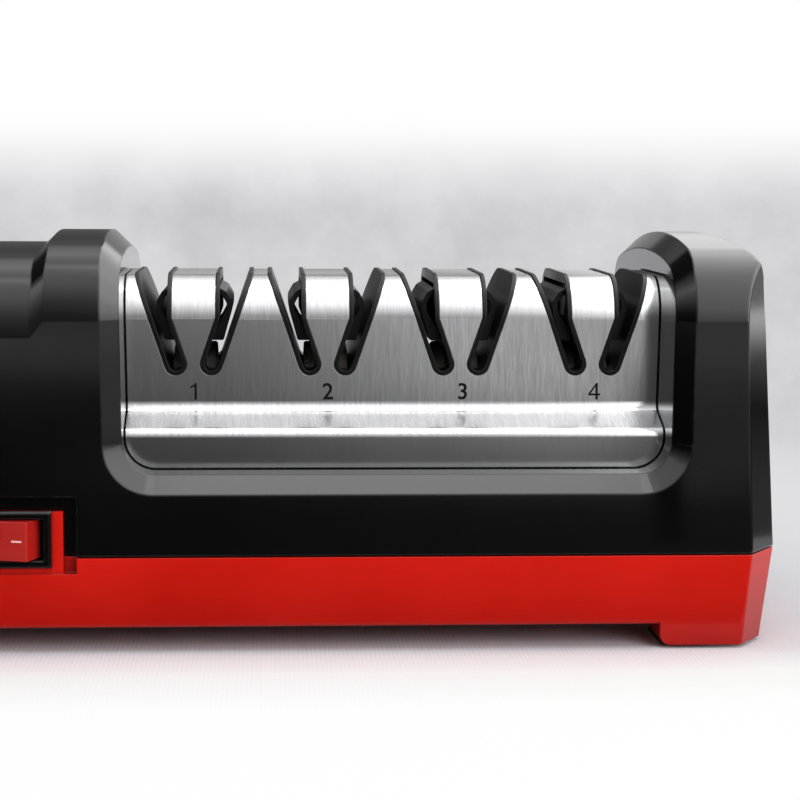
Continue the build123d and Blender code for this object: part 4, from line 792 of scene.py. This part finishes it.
def gloss_brightness(tree, parts):
    """Brightness of the studio in a direction, as gloss sees it."""
    place = reckon(tree, "DIVIDE", reckon(tree, "ARCTAN2", parts["Z"], parts["Y"]), pi)
    shine = arc_brightness(tree, place, SIDE_ARC)
    for stops, start, end in TAKE_OVERS:
        taken = spread(tree, parts["X"], start, end)
        shine = blend(tree, taken, shine, arc_brightness(tree, place, stops))
    return times(tree, shine, spread(tree, parts["X"], *FAR_LEFT_DIMS, out_low=FAR_LEFT_SHARE))


def backdrop_colour(tree, way, height):
    """Clouds along the horizon that turn to white above it."""
    cloud = spread(tree, noise(tree, way, scale=24.0, detail=5.0, roughness=0.6), 0.28, 0.72)
    clouded = blend_colour(tree, cloud, BACKDROP_SHADE, BACKDROP_PALE)
    start, end = BACKDROP_WHITENS
    above = put(tree, "ShaderNodeMapRange", {"Value": height, "From Min": start, "From Max": end},
                interpolation_type="SMOOTHSTEP").outputs["Result"]
    return blend_colour(tree, above, clouded, WHITE)


def shed(tree, colour, strength):
    return put(tree, "ShaderNodeBackground", {"Color": colour, "Strength": strength}).outputs[0]


def make_world():
    """Backdrop for the rays that look at it, the bright studio for gloss, an even fill for the rest."""
    world = bpy.data.worlds.new("Studio")
    bpy.context.scene.world = world
    world.use_nodes = True
    tree = world.node_tree
    tree.nodes.clear()
    way = put(tree, "ShaderNodeTexCoord").outputs["Generated"]
    parts = split(tree, way)
    backdrop = shed(tree, backdrop_colour(tree, way, parts["Z"]), 1.0)
    mirrored = shed(tree, (*WHITE, 1.0), gloss_brightness(tree, parts))
    fill = shed(tree, (*WHITE, 1.0), FILL_LIGHT)
    rays = put(tree, "ShaderNodeLightPath").outputs
    looked_at = reckon(tree, "MAXIMUM", rays["Is Camera Ray"], rays["Is Transmission Ray"])
    seen = blend_shader(tree, looked_at, fill, backdrop)
    both = blend_shader(tree, rays["Is Glossy Ray"], seen, mirrored)
    put(tree, "ShaderNodeOutputWorld", {"Surface": both})


make_floor()
make_table("front_table", (TABLE_FAR_LEFT, -TABLE_REACH), (TABLE_REACH, TABLE_EDGE_Y), front_table)
make_table("right_table", (TABLE_EDGE_X, TABLE_EDGE_Y), (TABLE_REACH, TABLE_REACH), right_table)
make_table("left_table", (-TABLE_REACH, TABLE_EDGE_Y), (-TABLE_EDGE_X, LEFT_TABLE_BACK), left_table)
make_black_card("right_flag", BLACK_CARD_LEFT, BLACK_CARD_RIGHT, BLACK_CARD_Y, BLACK_CARD_TOP)
add_softbox(
    "top_softbox", place=(0.05, -0.32, 1.1), aim=(0.05, -0.05, 0.05), width=1.1, height=0.9, brightness=2.5)
add_softbox(
    "front_softbox", place=(0.80, -1.25, 0.60), aim=(0.05, 0.0, 0.06), width=1.1, height=0.7, brightness=5.6)
make_world()

# ---- camera ----
CAMERA_PLACE = (0.277 * MM, -612.87 * MM, 128.50 * MM)
CAMERA_PAN = radians(3.664)
CAMERA_TILT = radians(6.182)
CAMERA_ROLL = radians(0.365)
CAMERA_LENS = 95.2
CAMERA_SENSOR = 36.0
CAMERA_NEAR = 0.01


def make_camera():
    """Long lens in front, panned to the right, tilted down and rolled a little."""
    lens = bpy.data.cameras.new("Camera")
    lens.lens = CAMERA_LENS
    lens.sensor_width = CAMERA_SENSOR
    lens.clip_start = CAMERA_NEAR
    camera = bpy.data.objects.new("Camera", lens)
    bpy.context.scene.collection.objects.link(camera)
    turn = Matrix.Rotation(-CAMERA_PAN, 4, "Z") @ Matrix.Rotation(pi / 2 - CAMERA_TILT, 4, "X")
    camera.matrix_world = Matrix.Translation(CAMERA_PLACE) @ turn @ Matrix.Rotation(CAMERA_ROLL, 4, "Z")
    bpy.context.scene.camera = camera


make_camera()
bpy.context.scene.view_settings.view_transform = "Standard"
